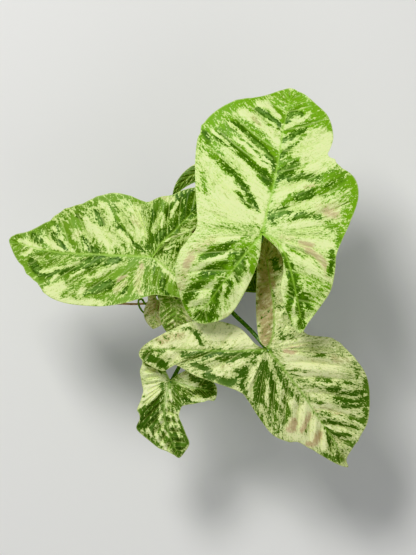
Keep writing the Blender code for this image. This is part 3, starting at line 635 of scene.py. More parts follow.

# Petiole routes from the stem's axis, millimetres; the last point is found under the blade
PETIOLES = {
    "crown": [(0, 0, 120), (0.5, 2.5, 130), (3, 7, 148), (11, 8, 168), (27, 8, 184), (41, 9, 195),
              (48.4, 15.2, 205)],
    "left": [(0, 0, 101), (-5, 0, 109), (-11, 0, 130), (-19, 1, 152), (-29, 2.5, 171)],
    "front": [(0, 0, 89), (3.5, -5, 97), (10, -18, 122), (19, -33, 143), (28.5, -43.5, 154),
              (42.5, -57, 162)],
    "low": [(0, 0, 80), (0.5, -6, 86), (0, -16, 98), (-1, -30, 112), (-4, -50, 125), (-12, -76, 135)],
    "rear": [(0, 0, 113), (2.5, 7, 119), (6, 20, 138), (14, 42, 150)],
    "inner": [(0, 0, 107), (4, -1, 116), (9, -1, 131), (15, -0.8, 141)],
    "pale": [(0, 0, 86), (-6, -5, 94), (-15, -13, 118), (-25, -23, 145)],
    "mottled": [(0, 0, 95), (-3.5, -6, 104), (-7.5, -13, 124), (-13, -22, 153)],
}
PETIOLE_RADIUS_LOW = 2.7
PETIOLE_RADIUS_HIGH = 1.5
PETIOLE_INSET = 2.6  # a petiole meets its blade this far in from the notch
PETIOLE_INSET_SHARE = 0.09  # or this share of a small blade's reach
PETIOLE_DROP = 0.9  # its last point lies this far below the blade's middle
PETIOLE_STEPS = 12  # between two points of the route
YOUNG_PETIOLE_SCALE = 0.72
SHEATH = 0.45  # how much a petiole widens where it clasps the stem
PULVINUS = 0.16  # and where it swells below the blade

# Aerial roots: radius and route from the stem's axis, millimetres
ROOT_STEPS = 14
ROOTS = {
    "root_long": (1.1, [
        (-1.5, -1.5, 94), (-9, -14.5, 101), (-26, -30, 103), (-45, -35, 98), (-66, -35.5, 84),
        (-84, -34.5, 66), (-92, -34, 54),
    ]),
    "root_curled": (1.0, [
        (-2.5, 0.5, 95), (-9, 0.5, 97.5), (-24, -12, 104), (-37, -28, 109), (-45, -35.5, 110),
        (-48.5, -31.5, 111), (-51.5, -32.5, 109), (-51, -37.5, 106), (-47.5, -42.5, 104.5),
        (-44.5, -42.5, 105.5), (-42, -40.5, 107),
    ]),
}

# Stem, potting mix and pot, millimetres
STEM_FOOT = 44.0
STEM_TOP = 124.0
STEM_RADIUS_LOW = 4.6
STEM_RADIUS_HIGH = 3.4
STEM_NODES = (80.0, 89.0, 101.0, 113.0)
NODE_SWELL = 0.45
NODE_SPREAD = 1.8
SCAR_DEPTH = 0.22  # the ring that a fallen leaf left
SCAR_ABOVE = 1.6  # above the middle of its node
SCAR_WIDTH = 0.35
SOIL_LEVEL = 70.0
SOIL_RISE = 1.2  # towards the stem
SOIL_FOOT_GAP = 0.3  # between the potting mix and the pot's floor and lower wall
SOIL_TOP_GAP = 0.1
SOIL_SHOULDER = 3.0  # height of the slope round its foot
STEM_HOLE_DEPTH = 6.0
POT_HEIGHT = 80.0
POT_FOOT_RADIUS = 30.0
POT_BODY_RADIUS = 39.0
POT_RIM_RADIUS = 42.5
POT_RIM_BAND = 9.0
POT_WALL = 1.5
POT_FLOOR = 3.0
POT_MIDDLE = 11.0  # radius of the flat middle of the underside
POT_RING = 25.0  # inner radius of the ring that the pot also stands on
POT_HOLLOW = 1.4  # how far the underside is hollowed between them
POT_ROUNDING = 0.8
POT_SIDES = 144
DRAIN_COUNT = 8
DRAIN_RADIUS = 2.6
DRAIN_RING = 17.5
DRAIN_TURN = 0.37  # the first hole's turn from +X, as a share of the step between two

# What lies on the potting mix: pieces on a square metre, seed, size in mm, flatness and raggedness
LOOSE = {
    "bark_chips": (95000.0, 4, 2.3, 0.4, 0.9),
    "perlite_grains": (14000.0, 9, 1.2, 0.85, 0.6),
}

# Light: lamps with their place and size in metres and their power in watts, what they face, and the sky
LAMPS = {
    "key": ((-0.48, 0.8, 1.6), 0.5, 22.5),
    "fill": ((0.6, -0.9, 1.7), 1.2, 4.5),
}
LIT_POINT = (0, 0, 0.16)
SKY = (0.93, 0.96, 1.0, 1)
SKY_STRENGTH = 0.34
FLOOR_RADIUS = 4.0


def linear(colour):
    """A linear RGBA colour from an sRGB hex value."""
    channels = [int(colour[i:i + 2], 16) / 255 for i in (0, 2, 4)]
    return (*(c / 12.92 if c <= 0.04045 else ((c + 0.055) / 1.055) ** 2.4 for c in channels), 1.0)


def feed(tree, node, inputs):
    """Gives a node's inputs their values, and links those that another node's output is given for."""
    for key, value in inputs.items():
        if isinstance(value, bpy.types.NodeSocket):
            tree.links.new(value, node.inputs[key])
        else:
            node.inputs[key].default_value = value


def add(tree, kind, inputs=None, out=0, **settings):
    """Adds a node with its settings, values and links, and returns one of its outputs."""
    node = tree.nodes.new(kind)
    for key, value in settings.items():
        setattr(node, key, value)
    feed(tree, node, inputs or {})
    return node.outputs[out] if node.outputs else node


def set_stops(ramp, *stops):
    """Gives a colour ramp these stops, each a place from 0 to 1 and a colour, in order."""
    elements = ramp.node.color_ramp.elements
    while len(elements) < len(stops):
        elements.new(0.5)
    for element, (place, colour) in zip(elements, stops):
        element.position, element.color = place, colour
    return ramp


def new_material(name):
    """A material, its tree and its Principled shader."""
    material = bpy.data.materials.new(name)
    material.use_nodes = True
    return material, material.node_tree, material.node_tree.nodes["Principled BSDF"]


def leaf_material(name, colours):
    """Living leaf skin: waxy cells give a soft satin gloss, and light soaks a little into the flesh."""
    material, tree, shader = new_material(name)
    cream, halo, light, grey, deep, bright, pink, rib = (linear(c) for c in colours)
    veins = add(tree, "ShaderNodeUVMap", uv_map="veins")
    place = add(tree, "ShaderNodeTexCoord", out=3)
    marks = add(tree, "ShaderNodeAttribute", attribute_name="marks")
    green, tone, blush = add(tree, "ShaderNodeSeparateColor", {0: marks}).node.outputs[:3]
    lines = add(tree, "ShaderNodeAttribute", attribute_name="lines")
    rib_near, vein_near, edge_near = add(tree, "ShaderNodeSeparateColor", {0: lines}).node.outputs[:3]

    drawn = {}
    for label, (along, across, detail, distortion) in DRAWN.items():
        scale = (UV_UNIT / along, UV_UNIT / across, 1)
        scaled = add(tree, "ShaderNodeMapping", {"Vector": veins, "Scale": scale})
        drawn[label] = add(tree, "ShaderNodeTexNoise", {
            "Vector": scaled, "Scale": 1, "Detail": detail, "Roughness": 0.6, "Distortion": distortion})
    streak, hair, fleck, patch = drawn.values()
    speck = add(tree, "ShaderNodeTexNoise", {"Vector": place, "Scale": 1 / (SPECK * MM), "Detail": 2})

    # The strokes' green, stored from 0 to 1, and the noises, less their middle: 0 is the edge of the green
    base = -1.0 - sum(WEIGHTS) / 2
    level = add(tree, "ShaderNodeMath", {0: green, 1: 2.0, 2: base}, operation="MULTIPLY_ADD")
    for source, weight in zip((streak, hair, fleck, speck), WEIGHTS):
        level = add(tree, "ShaderNodeMath", {0: source, 1: weight, 2: level}, operation="MULTIPLY_ADD")

    # Greens: greyed where the green layer lies under a white one, deep within, bright near the margin
    shift = add(tree, "ShaderNodeMath", {0: patch, 1: 0.9, 2: tone}, operation="MULTIPLY_ADD")
    shift = add(tree, "ShaderNodeMath", {0: fleck, 1: 0.9, 2: shift}, operation="MULTIPLY_ADD")
    shift = add(tree, "ShaderNodeMapRange", {"Value": shift, "From Min": 0.5, "From Max": 1.95})
    ramp = set_stops(add(tree, "ShaderNodeValToRGB", {0: shift}), (0.2, grey), (0.45, deep), (0.8, bright))

    # Pink: a dull brown where the tone is at its lowest, painted shade for pink and cream that lie in a
    # leaf's shadow
    flush = add(tree, "ShaderNodeMath", {0: streak, 1: 1.2, 2: blush}, operation="MULTIPLY_ADD")
    flush = add(tree, "ShaderNodeMath", {0: fleck, 1: 1.6, 2: flush}, operation="MULTIPLY_ADD")
    unshaded = add(tree, "ShaderNodeMapRange", {"Value": tone, "From Min": 0.1, "From Max": 0.5})
    pink = add(tree, "ShaderNodeMix", {0: unshaded, 6: linear(SHADE_TAN), 7: pink}, out=2, data_type="RGBA")

    # Colours laid over one another: each comes in as its value rises from low to high
    skin = cream
    for value, low, high, most, colour in (
        (level, -0.8, -0.06, 1.0, halo),
        (flush, 1.45, 2.5, 0.75, pink),
        (level, -0.04, 0.05, 1.0, light),
        (level, 0.03, 0.2, 1.0, ramp),
    ):
        span = {"Value": value, "From Min": low, "From Max": high, "To Max": most}
        share = add(tree, "ShaderNodeMapRange", span, interpolation_type="SMOOTHSTEP")
        skin = add(tree, "ShaderNodeMix", {0: share, 6: skin, 7: colour}, out=2, data_type="RGBA")

    # Ribs and side veins are paler than the green round them, and the very edge is a thin bright line
    for near, strength, colour in ((vein_near, 0.5, halo), (rib_near, 0.85, rib), (edge_near, 0.55, halo)):
        share = add(tree, "ShaderNodeMath", {0: near, 1: strength}, operation="MULTIPLY")
        skin = add(tree, "ShaderNodeMix", {0: share, 6: skin, 7: colour}, out=2, data_type="RGBA")

    # The gloss breaks up a little from cell to cell, and a net of minor veins lies 2.5 mm apart
    gloss = add(tree, "ShaderNodeMapRange", {
        "Value": fleck, "From Min": 0.3, "From Max": 0.7, "To Min": 0.44, "To Max": 0.6})
    net = add(tree, "ShaderNodeTexVoronoi", {"Vector": place, "Scale": 1 / (2.5 * MM)},
              feature="DISTANCE_TO_EDGE")
    net = add(tree, "ShaderNodeMapRange", {"Value": net, "From Min": 0.0, "From Max": 0.12})
    grain = add(tree, "ShaderNodeTexNoise", {"Vector": place, "Scale": 1 / (0.7 * MM), "Detail": 2})
    relief = add(tree, "ShaderNodeMath", {0: net, 1: 0.5, 2: grain}, operation="MULTIPLY_ADD")
    bump = add(tree, "ShaderNodeBump", {"Height": relief, "Strength": 0.35, "Distance": 0.12 * MM})
    feed(tree, shader, {
        "Base Color": skin, "Roughness": gloss, "Normal": bump, "IOR": 1.42, "Specular IOR Level": 0.35,
        "Subsurface Weight": 0.06, "Subsurface Radius": (0.0006, 0.001, 0.0003), "Subsurface Scale": 1.0,
    })
    return material


def spline(points, at):
    """Points at these indexes, whole or not, on the smooth curve through the given points."""
    points = np.asarray(points, float)
    at = np.atleast_1d(np.asarray(at, float))
    step = np.clip(at.astype(int), 0, len(points) - 2)
    t = (at - step)[:, None]
    longer = np.vstack([2 * points[0] - points[1], points, 2 * points[-1] - points[-2]])
    p0, p1, p2, p3 = (longer[step + i] for i in range(4))
    return 0.5 * (
        2 * p1 + (p2 - p0) * t + (2 * p0 - 5 * p1 + 4 * p2 - p3) * t * t
        + (3 * p1 - p0 - 3 * p2 + p3) * t ** 3
    )


def line_distance(points, line):
    """Each point's distance from a line of points, and its share along it."""
    line = np.asarray(line, float)
    best = np.full(len(points), 1e9)
    share = np.zeros(len(points))
    lengths = np.linalg.norm(np.diff(line, axis=0), axis=1)
    before = np.concatenate([[0], np.cumsum(lengths)])
    for i, (a, b) in enumerate(zip(line, line[1:])):
        along = np.clip(((points - a) @ (b - a)) / max(lengths[i] ** 2, 1e-9), 0, 1)
        distance = np.linalg.norm(points - (a + along[:, None] * (b - a)), axis=1)
        nearer = distance < best
        best = np.where(nearer, distance, best)
        share = np.where(nearer, (before[i] + along * lengths[i]) / before[-1], share)
    return best, share


def ease(value, low, high):
    """0 up to low, 1 from high on, and smooth between; low may be the larger."""
    t = np.clip((value - low) / (high - low), 0, 1)
    return t * t * (3 - 2 * t)


def bell(gap, width):
    """1 on a line, fading to nothing over about twice this width beside it."""
    return np.exp(-((gap / width) ** 2))


def shell_faces(rows, width):
    """The faces of a sheet's upper and lower side, and of the wall along its margin."""
    count = rows * width
    r, c = np.meshgrid(np.arange(rows - 1), np.arange(width - 1), indexing="ij")
    a = (r * width + c).ravel()
    upper = np.stack([a, a + 1, a + width + 1, a + width], axis=1)
    rim = np.arange(rows - 1) * width + width - 1
    wall = np.stack([rim, rim + count, rim + width + count, rim + width], axis=1)
    return upper, upper[:, ::-1] + count, wall


class Blade:
    """One blade: its plan, its height, and the skin made from them."""

    def __init__(self, name, table, ribs, margin):
        self.name, self.at = name, np.array(table["at"], float)
        self.heading = math.radians(table["heading"])
        self.form, self.wave = table["form"], table["wave"]
        self.bent_streaks = table.get("bent_streaks", False)
        start = [(0.0, 0.0)]
        self.ribs = {key: start + list(points) for key, points in ribs.items()}
        self.margin = start + list(margin) + start
        self.reach = max(math.hypot(x, y) for x, y in margin)
        self.small = min(1.0, self.reach / FULL_RELIEF_REACH)

    def rib_points(self, rib, share):
        """Points on a rib at these shares of its length."""
        return spline(self.ribs[rib], np.clip(share, 0, 1) * (len(self.ribs[rib]) - 1))

    def rows(self):
        """Start and end of each row in plan, the rib's direction there, whether it can bow, and its index."""
        starts, ends, aheads, between, indexes = [], [], [], [], []
        index = 0
        for rib, first, last, passed in STRETCHES:
            steps = np.arange(0 if index == 0 else 1, passed * ROWS + 1)
            share = first + (last - first) * steps / (passed * ROWS)
            at = index + steps / ROWS
            ahead = self.rib_points(rib, share + 0.05) - self.rib_points(rib, share - 0.05)
            start, end = self.rib_points(rib, share), spline(self.margin, at)
            outwards = (end - start) / np.maximum(np.linalg.norm(end - start, axis=1), 1e-9)[:, None]
            for x, y, width, shift in NICKS.get(self.name, ()):
                near = bell(np.hypot(end[:, 0] - x, end[:, 1] - y), width)
                end = end + shift * near[:, None] * outwards
            starts.append(start)
            ends.append(end)
            aheads.append(ahead / np.linalg.norm(ahead, axis=1)[:, None])
            between.append((share > 1e-9) & (share < 1 - 1e-9))
            indexes.append(at)
            index += passed
        return tuple(np.concatenate(part) for part in (starts, ends, aheads, between, indexes))

    def lay_out(self):
        """The grid of points in plan, and where each lies among the ribs and side veins, in millimetres."""
        starts, ends, aheads, between, indexes = self.rows()
        columns = np.linspace(0, 1, COLUMNS + 1)
        t = (columns ** 2 * (3 - 2 * columns))[None, :, None]
        length = np.linalg.norm(ends - starts, axis=1)[:, None, None]
        bow = VEIN_BOW * length * 4 * t * (1 - t) * between[:, None, None]
        plan = starts[:, None, :] + (ends - starts)[:, None, :] * t - aheads[:, None, :] * bow
        plan[0], plan[-1] = 0.0, 0.0
        self.x, self.y, self.flat = plan[..., 0], plan[..., 1], plan.reshape(-1, 2)
        self.t, self.length, self.index = t[..., 0], length[..., 0], indexes[:, None]

        rib_gap, rib_share = np.full(len(self.flat), 1e9), np.zeros(len(self.flat))
        for rib in self.ribs:
            gap, share = line_distance(self.flat, self.rib_points(rib, np.linspace(0, 1, 15)))
            nearer = gap < rib_gap
            rib_gap, rib_share = np.where(nearer, gap, rib_gap), np.where(nearer, share, rib_share)
        self.rib_gap, self.rib_share = rib_gap.reshape(self.x.shape), rib_share.reshape(self.x.shape)
        self.rib_width = (RIB_WIDTH - RIB_TAPER * self.rib_share) * (0.4 + 0.6 * self.small)
        self.spacing = np.linalg.norm(np.gradient(plan, axis=0), axis=2) * ROWS
        self.vein_gap = np.abs(self.index - np.round(self.index)) * self.spacing
        self.edge_gap = (1 - self.t) * self.length
        self.edge_gap[:, 0] = self.length.max()  # rows on both sides of a rib share its points

        settled = np.minimum(1.0, np.hypot(self.x, self.y) / (CALM * self.reach))
        swell = np.sin(math.pi * np.minimum(self.t * SWELL_PACE, 1.0)) * settled
        self.swell = np.where(between[:, None], swell, swell * self.t)

    def height(self, x, y):
        """Height above the petiole's top of the leaf's plain form."""
        pitch, sag, fold, roll, lobe_sag = self.form
        along = x * math.cos(self.heading) + y * math.sin(self.heading)
        across = -x * math.sin(self.heading) + y * math.cos(self.heading)
        soft = 4.0  # the fold is rounded over this width
        z = pitch * along - sag * along ** 2 - roll * across ** 2
        z += fold * (np.sqrt(across ** 2 + soft ** 2) - soft)
        return z - np.where(along < 0, lobe_sag * along ** 2, 0.0)

    def normals(self, x, y):
        """Directions square to the plain form, from its height a step to each side."""
        step = 1.0
        dx = (self.height(x + step, y) - self.height(x - step, y)) / (2 * step)
        dy = (self.height(x, y + step) - self.height(x, y - step)) / (2 * step)
        normal = np.stack([-dx, -dy, np.ones_like(dx)], axis=-1)
        return normal / np.linalg.norm(normal, axis=-1, keepdims=True)

    def relief(self):
        """Height with the waved edge, the swellings between side veins, the furrows along them and dents."""
        t, index, small, swell = self.t, self.index, self.small, self.swell
        amount, count, phase = self.wave
        z = self.height(self.x, self.y)
        z = z + amount * t ** 3 * np.sin(2 * math.pi * count * index / (len(self.margin) - 1) + phase)
        z = z - PUCKER * small * swell * np.cos(2 * math.pi * index)
        z = z - VEIN_FURROW * small * swell * bell(self.vein_gap, VEIN_FURROW_WIDTH)
        z = z - PLEAT * small * swell * np.cos(6 * math.pi * index)
        z = z - RIB_FURROW * small * (1 - 0.7 * self.rib_share) * bell(self.rib_gap, self.rib_width)
        dents = [noise.noise(Vector((a / UNEVEN_SPAN, b / UNEVEN_SPAN, 7.0)))
                 + 0.5 * noise.noise(Vector((a / UNEVEN_FINE_SPAN, b / UNEVEN_FINE_SPAN, 3.0)))
                 for a, b in self.flat]
        return z + UNEVEN * small * np.array(dents).reshape(self.x.shape) * ease(t, 0.02, 0.25)

    def shell(self):
        """The points above and below: the blade thins to its margin and has a keel under each rib."""
        middle = self.at + np.stack([self.x, self.y, self.relief()], axis=-1)
        normal = self.normals(self.x, self.y)
        thin = np.sqrt(np.clip(self.edge_gap / MARGIN_ROUNDING, MARGIN_THINNEST, 1))[..., None]
        keel_depth = KEEL_SHALLOW + (KEEL_DEEP - KEEL_SHALLOW) * (1 - self.rib_share)
        keel_depth = keel_depth * min(1.0, self.reach / KEEL_REACH + KEEL_LEAST)
        keel = keel_depth * bell(self.rib_gap, KEEL_WIDTH * self.rib_width + KEEL_WIDTH_LEAST)
        keel = keel + VEIN_KEEL * self.small * self.swell * bell(self.vein_gap, VEIN_KEEL_WIDTH)
        keel = keel[..., None] * ease(self.edge_gap, 0.0, KEEL_FADES)[..., None]
        top = middle + normal * (BLADE_THICKNESS / 2) * thin
        bottom = middle - normal * (BLADE_THICKNESS / 2 * thin + keel)
        bottom[0], bottom[-1] = bottom[SEAT_ROW, 0], bottom[SEAT_ROW, 0]
        return top, bottom

    def vein_map(self):
        """Each point's place from the rib and across the side veins, for what is drawn out along them."""
        along, across = self.t * self.length, self.index * float(np.median(self.spacing[:, COLUMNS // 2]))
        if self.bent_streaks:
            along, across = self.along_midrib()
        across = np.broadcast_to(across, self.x.shape)
        return np.stack([along.ravel(), across.ravel()], axis=1) / UV_UNIT

    def along_midrib(self):
        """Millimetres from the petiole and across, for streaks that bend with the midrib."""
        mid = self.rib_points("mid", np.linspace(0.05, 1, 40))
        away = np.hypot(self.x, self.y)
        bend = np.interp(away, np.hypot(mid[:, 0], mid[:, 1]), np.unwrap(np.arctan2(mid[:, 1], mid[:, 0])))
        turn = np.arctan2(self.y, self.x) - bend
        turn = np.arctan2(np.sin(turn), np.cos(turn))
        return away, BEND_RADIUS * turn

    def marks(self):
        """Green, tone and pink at each point, from brush strokes laid over one another with ragged edges."""
        found = np.zeros((len(self.flat), 3))
        drift = np.array([[noise.noise(Vector((x / span, y / span, seed))) * span * RAGGED
                           for span, seed in DRIFTS] for x, y in self.flat])
        points = self.flat + drift[:, :2] + drift[:, 2:]
        for paint, width, *path in STROKES[self.name]:
            distance = line_distance(points, path)[0]
            cover = ease(distance, STROKE_GONE * width, STROKE_FULL * width)[:, None]
            found = found * (1 - cover) + np.array(PAINTS[paint]) * cover
        found[:, 0] = found[:, 0] / 2 + 0.5
        return found

    def lines(self):
        """How near each point is to a rib, a side vein and the margin, from 0 to 1."""
        rib_line = bell(self.rib_gap, RIB_LINE * self.rib_width + RIB_LINE_LEAST) * (1 - 0.3 * self.rib_share)
        minor_gap = np.abs(2 * self.index - np.round(2 * self.index)) / 2 * self.spacing
        vein_line = bell(self.vein_gap, VEIN_LINE) + MINOR_STRENGTH * bell(minor_gap, MINOR_LINE)
        vein_line = np.minimum(vein_line, 1.0) * ease(self.swell, 0.0, 0.3)
        vein_line = vein_line * ease(self.spacing, VEINS_MERGE, VEINS_PART)
        edge_line = ease(self.edge_gap, MARGIN_LINE_FADES, MARGIN_LINE)
        return np.stack([rib_line.ravel(), vein_line.ravel(), edge_line.ravel()], axis=1)

    def skin(self, materials):
        """The blade's closed mesh, with its vein map, its painted marks and the lines of its veins."""
        self.lay_out()
        top, bottom = self.shell()
        upper, lower, wall = shell_faces(*self.x.shape)
        faces = np.vstack([upper, lower, wall])
        points = np.vstack([top.reshape(-1, 3), bottom.reshape(-1, 3)]) * MM
        mesh = bpy.data.meshes.new("leaf_" + self.name)
        mesh.from_pydata(points.tolist(), [], faces.tolist())
        for material in materials:
            mesh.materials.append(material)
        slots = np.zeros(len(faces), np.int32)
        slots[len(upper):2 * len(upper)] = 1
        mesh.polygons.foreach_set("material_index", slots)

        both_sides = np.vstack([self.vein_map()] * 2)
        layer = mesh.uv_layers.new(name="veins")
        layer.data.foreach_set("uv", both_sides[faces.ravel()].astype(np.float32).ravel())
        for label, values in (("marks", self.marks()), ("lines", self.lines())):
            four = np.ones((2 * len(values), 4), np.float32)
            four[:, :3] = np.vstack([values] * 2)
            layer = mesh.attributes.new(label, "FLOAT_COLOR", "POINT")
            layer.data.foreach_set("color", four.ravel())
        return closed_piece(mesh.name, mesh)

    def petiole_seat(self):
        """Where the petiole meets the blade, just inside it."""
        inset = min(PETIOLE_INSET, PETIOLE_INSET_SHARE * self.reach)
        x, y = inset * math.cos(self.heading), inset * math.sin(self.heading)
        normal = self.normals(np.array([x]), np.array([y]))[0]
        return self.at + np.array([x, y, float(self.height(x, y))]) - normal * PETIOLE_DROP


def closed_piece(name, mesh):
    """An object whose doubled points are merged, shaded smooth."""
    made = bmesh.new()
    made.from_mesh(mesh)
    bmesh.ops.remove_doubles(made, verts=made.verts, dist=0.000002)
    bmesh.ops.dissolve_degenerate(made, dist=0.0000005, edges=made.edges)
    made.to_mesh(mesh)
    made.free()
    mesh.shade_smooth()
    obj = bpy.data.objects.new(name, mesh)
    bpy.context.scene.collection.objects.link(obj)
    return obj


def measured_blade(name):
    """A large blade, from its own outline and ribs."""
    table = BLADES[name]
    return Blade(name, table, {key: table[key] for key in ("mid", "first", "second")}, table["margin"])


def young_blade(name):
    """A small blade from the half outline, its midrib curled sideways by so many degrees over its length."""
    table = YOUNG[name]
    heading, length, breadth, lobes, blunt, curl = table["shape"]

    def place(x, y, side):
        along = x * length * (lobes if x < 0 else 1)
        across = y * length * breadth * side * (1 + blunt * max(x, 0))
        if curl and x > 0:
            turn = math.radians(curl) * x
            radius = length / math.radians(curl)
            along = (radius - across) * math.sin(turn)
            across = radius - (radius - across) * math.cos(turn)
        angle = math.radians(heading)
        return (
            along * math.cos(angle) - across * math.sin(angle),
            along * math.sin(angle) + across * math.cos(angle),
        )

    ribs = {"mid": [place(share, 0, 1) for share in (0.16, 0.32, 0.48, 0.64, 0.80, 0.92)]}
    ribs["first"] = [place(x, y, -1) for x, y in HALF_RIB]
    ribs["second"] = [place(x, y, 1) for x, y in HALF_RIB]
    margin = [place(x, y, -1) for x, y in HALF_MARGIN] + [place(1, 0, 1)]
    margin += [place(x, y, 1) for x, y in reversed(HALF_MARGIN)]
    return Blade(name, {**table, "heading": heading}, ribs, margin)


def node_group(name, inputs):
    """A Geometry Nodes tree with named inputs, its input node, and the sockets' identifiers."""
    tree = bpy.data.node_groups.new(name, "GeometryNodeTree")
    tree.interface.new_socket("Geometry", in_out="INPUT", socket_type="NodeSocketGeometry")
    ids = {}
    for label, kind in inputs.items():
        ids[label] = tree.interface.new_socket(label, in_out="INPUT", socket_type=kind).identifier
    tree.interface.new_socket("Geometry", in_out="OUTPUT", socket_type="NodeSocketGeometry")
    return tree, tree.nodes.new("NodeGroupInput").outputs, ids


def grow(name, mesh, tree, ids, values):
    """The plain mesh that a Geometry Nodes tree makes from a mesh, as a new object."""
    obj = bpy.data.objects.new(name, mesh)
    bpy.context.scene.collection.objects.link(obj)
    modifier = obj.modifiers.new(tree.name, "NODES")
    modifier.node_group = tree
    for label, value in values.items():
        modifier[ids[label]] = value
    graph = bpy.context.evaluated_depsgraph_get()
    grown = bpy.data.meshes.new_from_object(obj.evaluated_get(graph))
    obj.modifiers.remove(modifier)
    obj.data = grown
    grown.name = name
    return obj


def stalk_tree():
    """A round stalk along a line of points, from their girth, with shallow ridges along it."""
    tree, given, ids = node_group("Stalk", {
        "Sides": "NodeSocketInt", "Ridges": "NodeSocketInt", "Ridge depth": "NodeSocketFloat",
        "Skin": "NodeSocketMaterial",
    })
    line = add(tree, "GeometryNodeMeshToCurve", {"Mesh": given["Geometry"]})
    girth = add(tree, "GeometryNodeInputNamedAttribute", {"Name": "girth"}, data_type="FLOAT")
    line = add(tree, "GeometryNodeSetCurveRadius", {"Curve": line, "Radius": girth})
    ring = add(tree, "GeometryNodeCurvePrimitiveCircle", {"Resolution": given["Sides"], "Radius": 1.0})
    turn = add(tree, "GeometryNodeSplineParameter")
    turn = add(tree, "ShaderNodeMath", {0: turn, 1: given["Ridges"]}, operation="MULTIPLY")
    turn = add(tree, "ShaderNodeMath", {0: turn, 1: 2 * math.pi}, operation="MULTIPLY")
    wave = add(tree, "ShaderNodeMath", {0: turn}, operation="COSINE")
    wave = add(tree, "ShaderNodeMath", {0: wave, 1: given["Ridge depth"]}, operation="MULTIPLY")
    place = add(tree, "GeometryNodeInputPosition")
    offset = add(tree, "ShaderNodeVectorMath", {0: place, "Scale": wave}, operation="SCALE")
    ring = add(tree, "GeometryNodeSetPosition", {"Geometry": ring, "Offset": offset})
    mesh = add(tree, "GeometryNodeCurveToMesh",
               {"Curve": line, "Profile Curve": ring, "Scale": girth, "Fill Caps": True})
    mesh = add(tree, "GeometryNodeSetShadeSmooth", {"Geometry": mesh})
    mesh = add(tree, "GeometryNodeRealizeInstances", {"Geometry": mesh})
    mesh = add(tree, "GeometryNodeSetMaterial", {"Geometry": mesh, "Material": given["Skin"]})
    add(tree, "NodeGroupOutput", {0: mesh})
    return tree, ids


def line_mesh(name, points, girths):
    """Millimetre points joined in a line, with a girth at each."""
    mesh = bpy.data.meshes.new(name)
    edges = [(i, i + 1) for i in range(len(points) - 1)]
    mesh.from_pydata((np.asarray(points) * MM).tolist(), edges, [])
    layer = mesh.attributes.new("girth", "FLOAT", "POINT")
    layer.data.foreach_set("value", (np.asarray(girths) * MM).astype(np.float32))
    return mesh


def make_petiole(blade, route, scale, tree, ids, skin):
    """A stalk that clasps the stem, thins over its first third and swells a little below its blade."""
    points = [np.array(p, float) for p in route] + [blade.petiole_seat()]
    at = np.linspace(0, 1, PETIOLE_STEPS * (len(points) - 1) + 1)
    centres = spline(points, at * (len(points) - 1))
    taper = PETIOLE_RADIUS_LOW + (PETIOLE_RADIUS_HIGH - PETIOLE_RADIUS_LOW) * at ** 0.6
    taper = taper * scale * (1 + SHEATH * ease(at, 0.3, 0.02) + PULVINUS * ease(at, 0.9, 0.97))
    mesh = line_mesh("stalk_" + blade.name, centres, taper)
    return grow(mesh.name, mesh, tree, ids, {"Sides": 40, "Ridges": 10, "Ridge depth": 0.03, "Skin": skin})


def make_root(name, node, tree, ids, skin):
    """An aerial root, uneven in girth, with a rounded end."""
    radius, route = ROOTS[node]
    at = np.linspace(0, 1, ROOT_STEPS * (len(route) - 1) + 1)
    centres = spline(route, at * (len(route) - 1))
    wobble = np.array([noise.noise(Vector((7 * a * len(route), 0.0, radius))) for a in at])
    girth = radius * (1 - 0.3 * at) * (1 + 0.18 * wobble)
    girth[-4:] *= (0.95, 0.8, 0.6, 0.3)
    return grow(name, line_mesh(name, centres, girth), tree, ids,
                {"Sides": 20, "Ridges": 5, "Ridge depth": 0.04, "Skin": skin})


def stem_radius(height):
    """The stem tapers from the soil upwards and swells at each node."""
    share = np.clip((height - SOIL_LEVEL) / (STEM_TOP - SOIL_LEVEL), 0, 1)
    radius = STEM_RADIUS_LOW + (STEM_RADIUS_HIGH - STEM_RADIUS_LOW) * share
    for node in STEM_NODES:
        radius = radius + NODE_SWELL * bell(height - node, NODE_SPREAD)
    return radius


def make_stem(tree, ids, skin):
    """The bare stem, with a ring above each node and a rounded top."""
    heights = np.linspace(STEM_FOOT, STEM_TOP, 160)
    girth = stem_radius(heights)
    for node in STEM_NODES:
        girth = girth - SCAR_DEPTH * bell(heights - node - SCAR_ABOVE, SCAR_WIDTH)
    girth[-3:] *= (0.97, 0.88, 0.7)
    points = np.stack([0.0 * heights, 0.0 * heights, heights], axis=1)
    return grow("jointed_stem", line_mesh("jointed_stem", points, girth), tree, ids,
                {"Sides": 48, "Ridges": 12, "Ridge depth": 0.015, "Skin": skin})


def turned_mesh(name, profile, sides, relief=None):
    """A solid of revolution. The profile runs from the axis, out along the bottom and back over the top."""
    profile = np.asarray(profile, float)
    angles = np.arange(sides) * 2 * math.pi / sides
    rings = len(profile)
    vertices = np.zeros((rings, sides, 3))
    for i, (radius, height) in enumerate(profile):
        lift = relief(radius, height, angles) if relief else 0.0
        heights = height + lift + 0 * angles
        vertices[i] = np.stack([radius * np.cos(angles), radius * np.sin(angles), heights], 1)
    faces = []
    for i in range(rings - 1):
        for k in range(sides):
            after = (k + 1) % sides
            faces.append((i * sides + k, i * sides + after, (i + 1) * sides + after, (i + 1) * sides + k))
    mesh = bpy.data.meshes.new(name)
    mesh.from_pydata((vertices.reshape(-1, 3) * MM).tolist(), [], faces)
    return mesh


def pot_inner_radius(height):
    """The pot widens evenly up to its rim band."""
    share = min(height / (POT_HEIGHT - POT_RIM_BAND), 1.0)
    return POT_FOOT_RADIUS + (POT_BODY_RADIUS - POT_FOOT_RADIUS) * share - POT_WALL


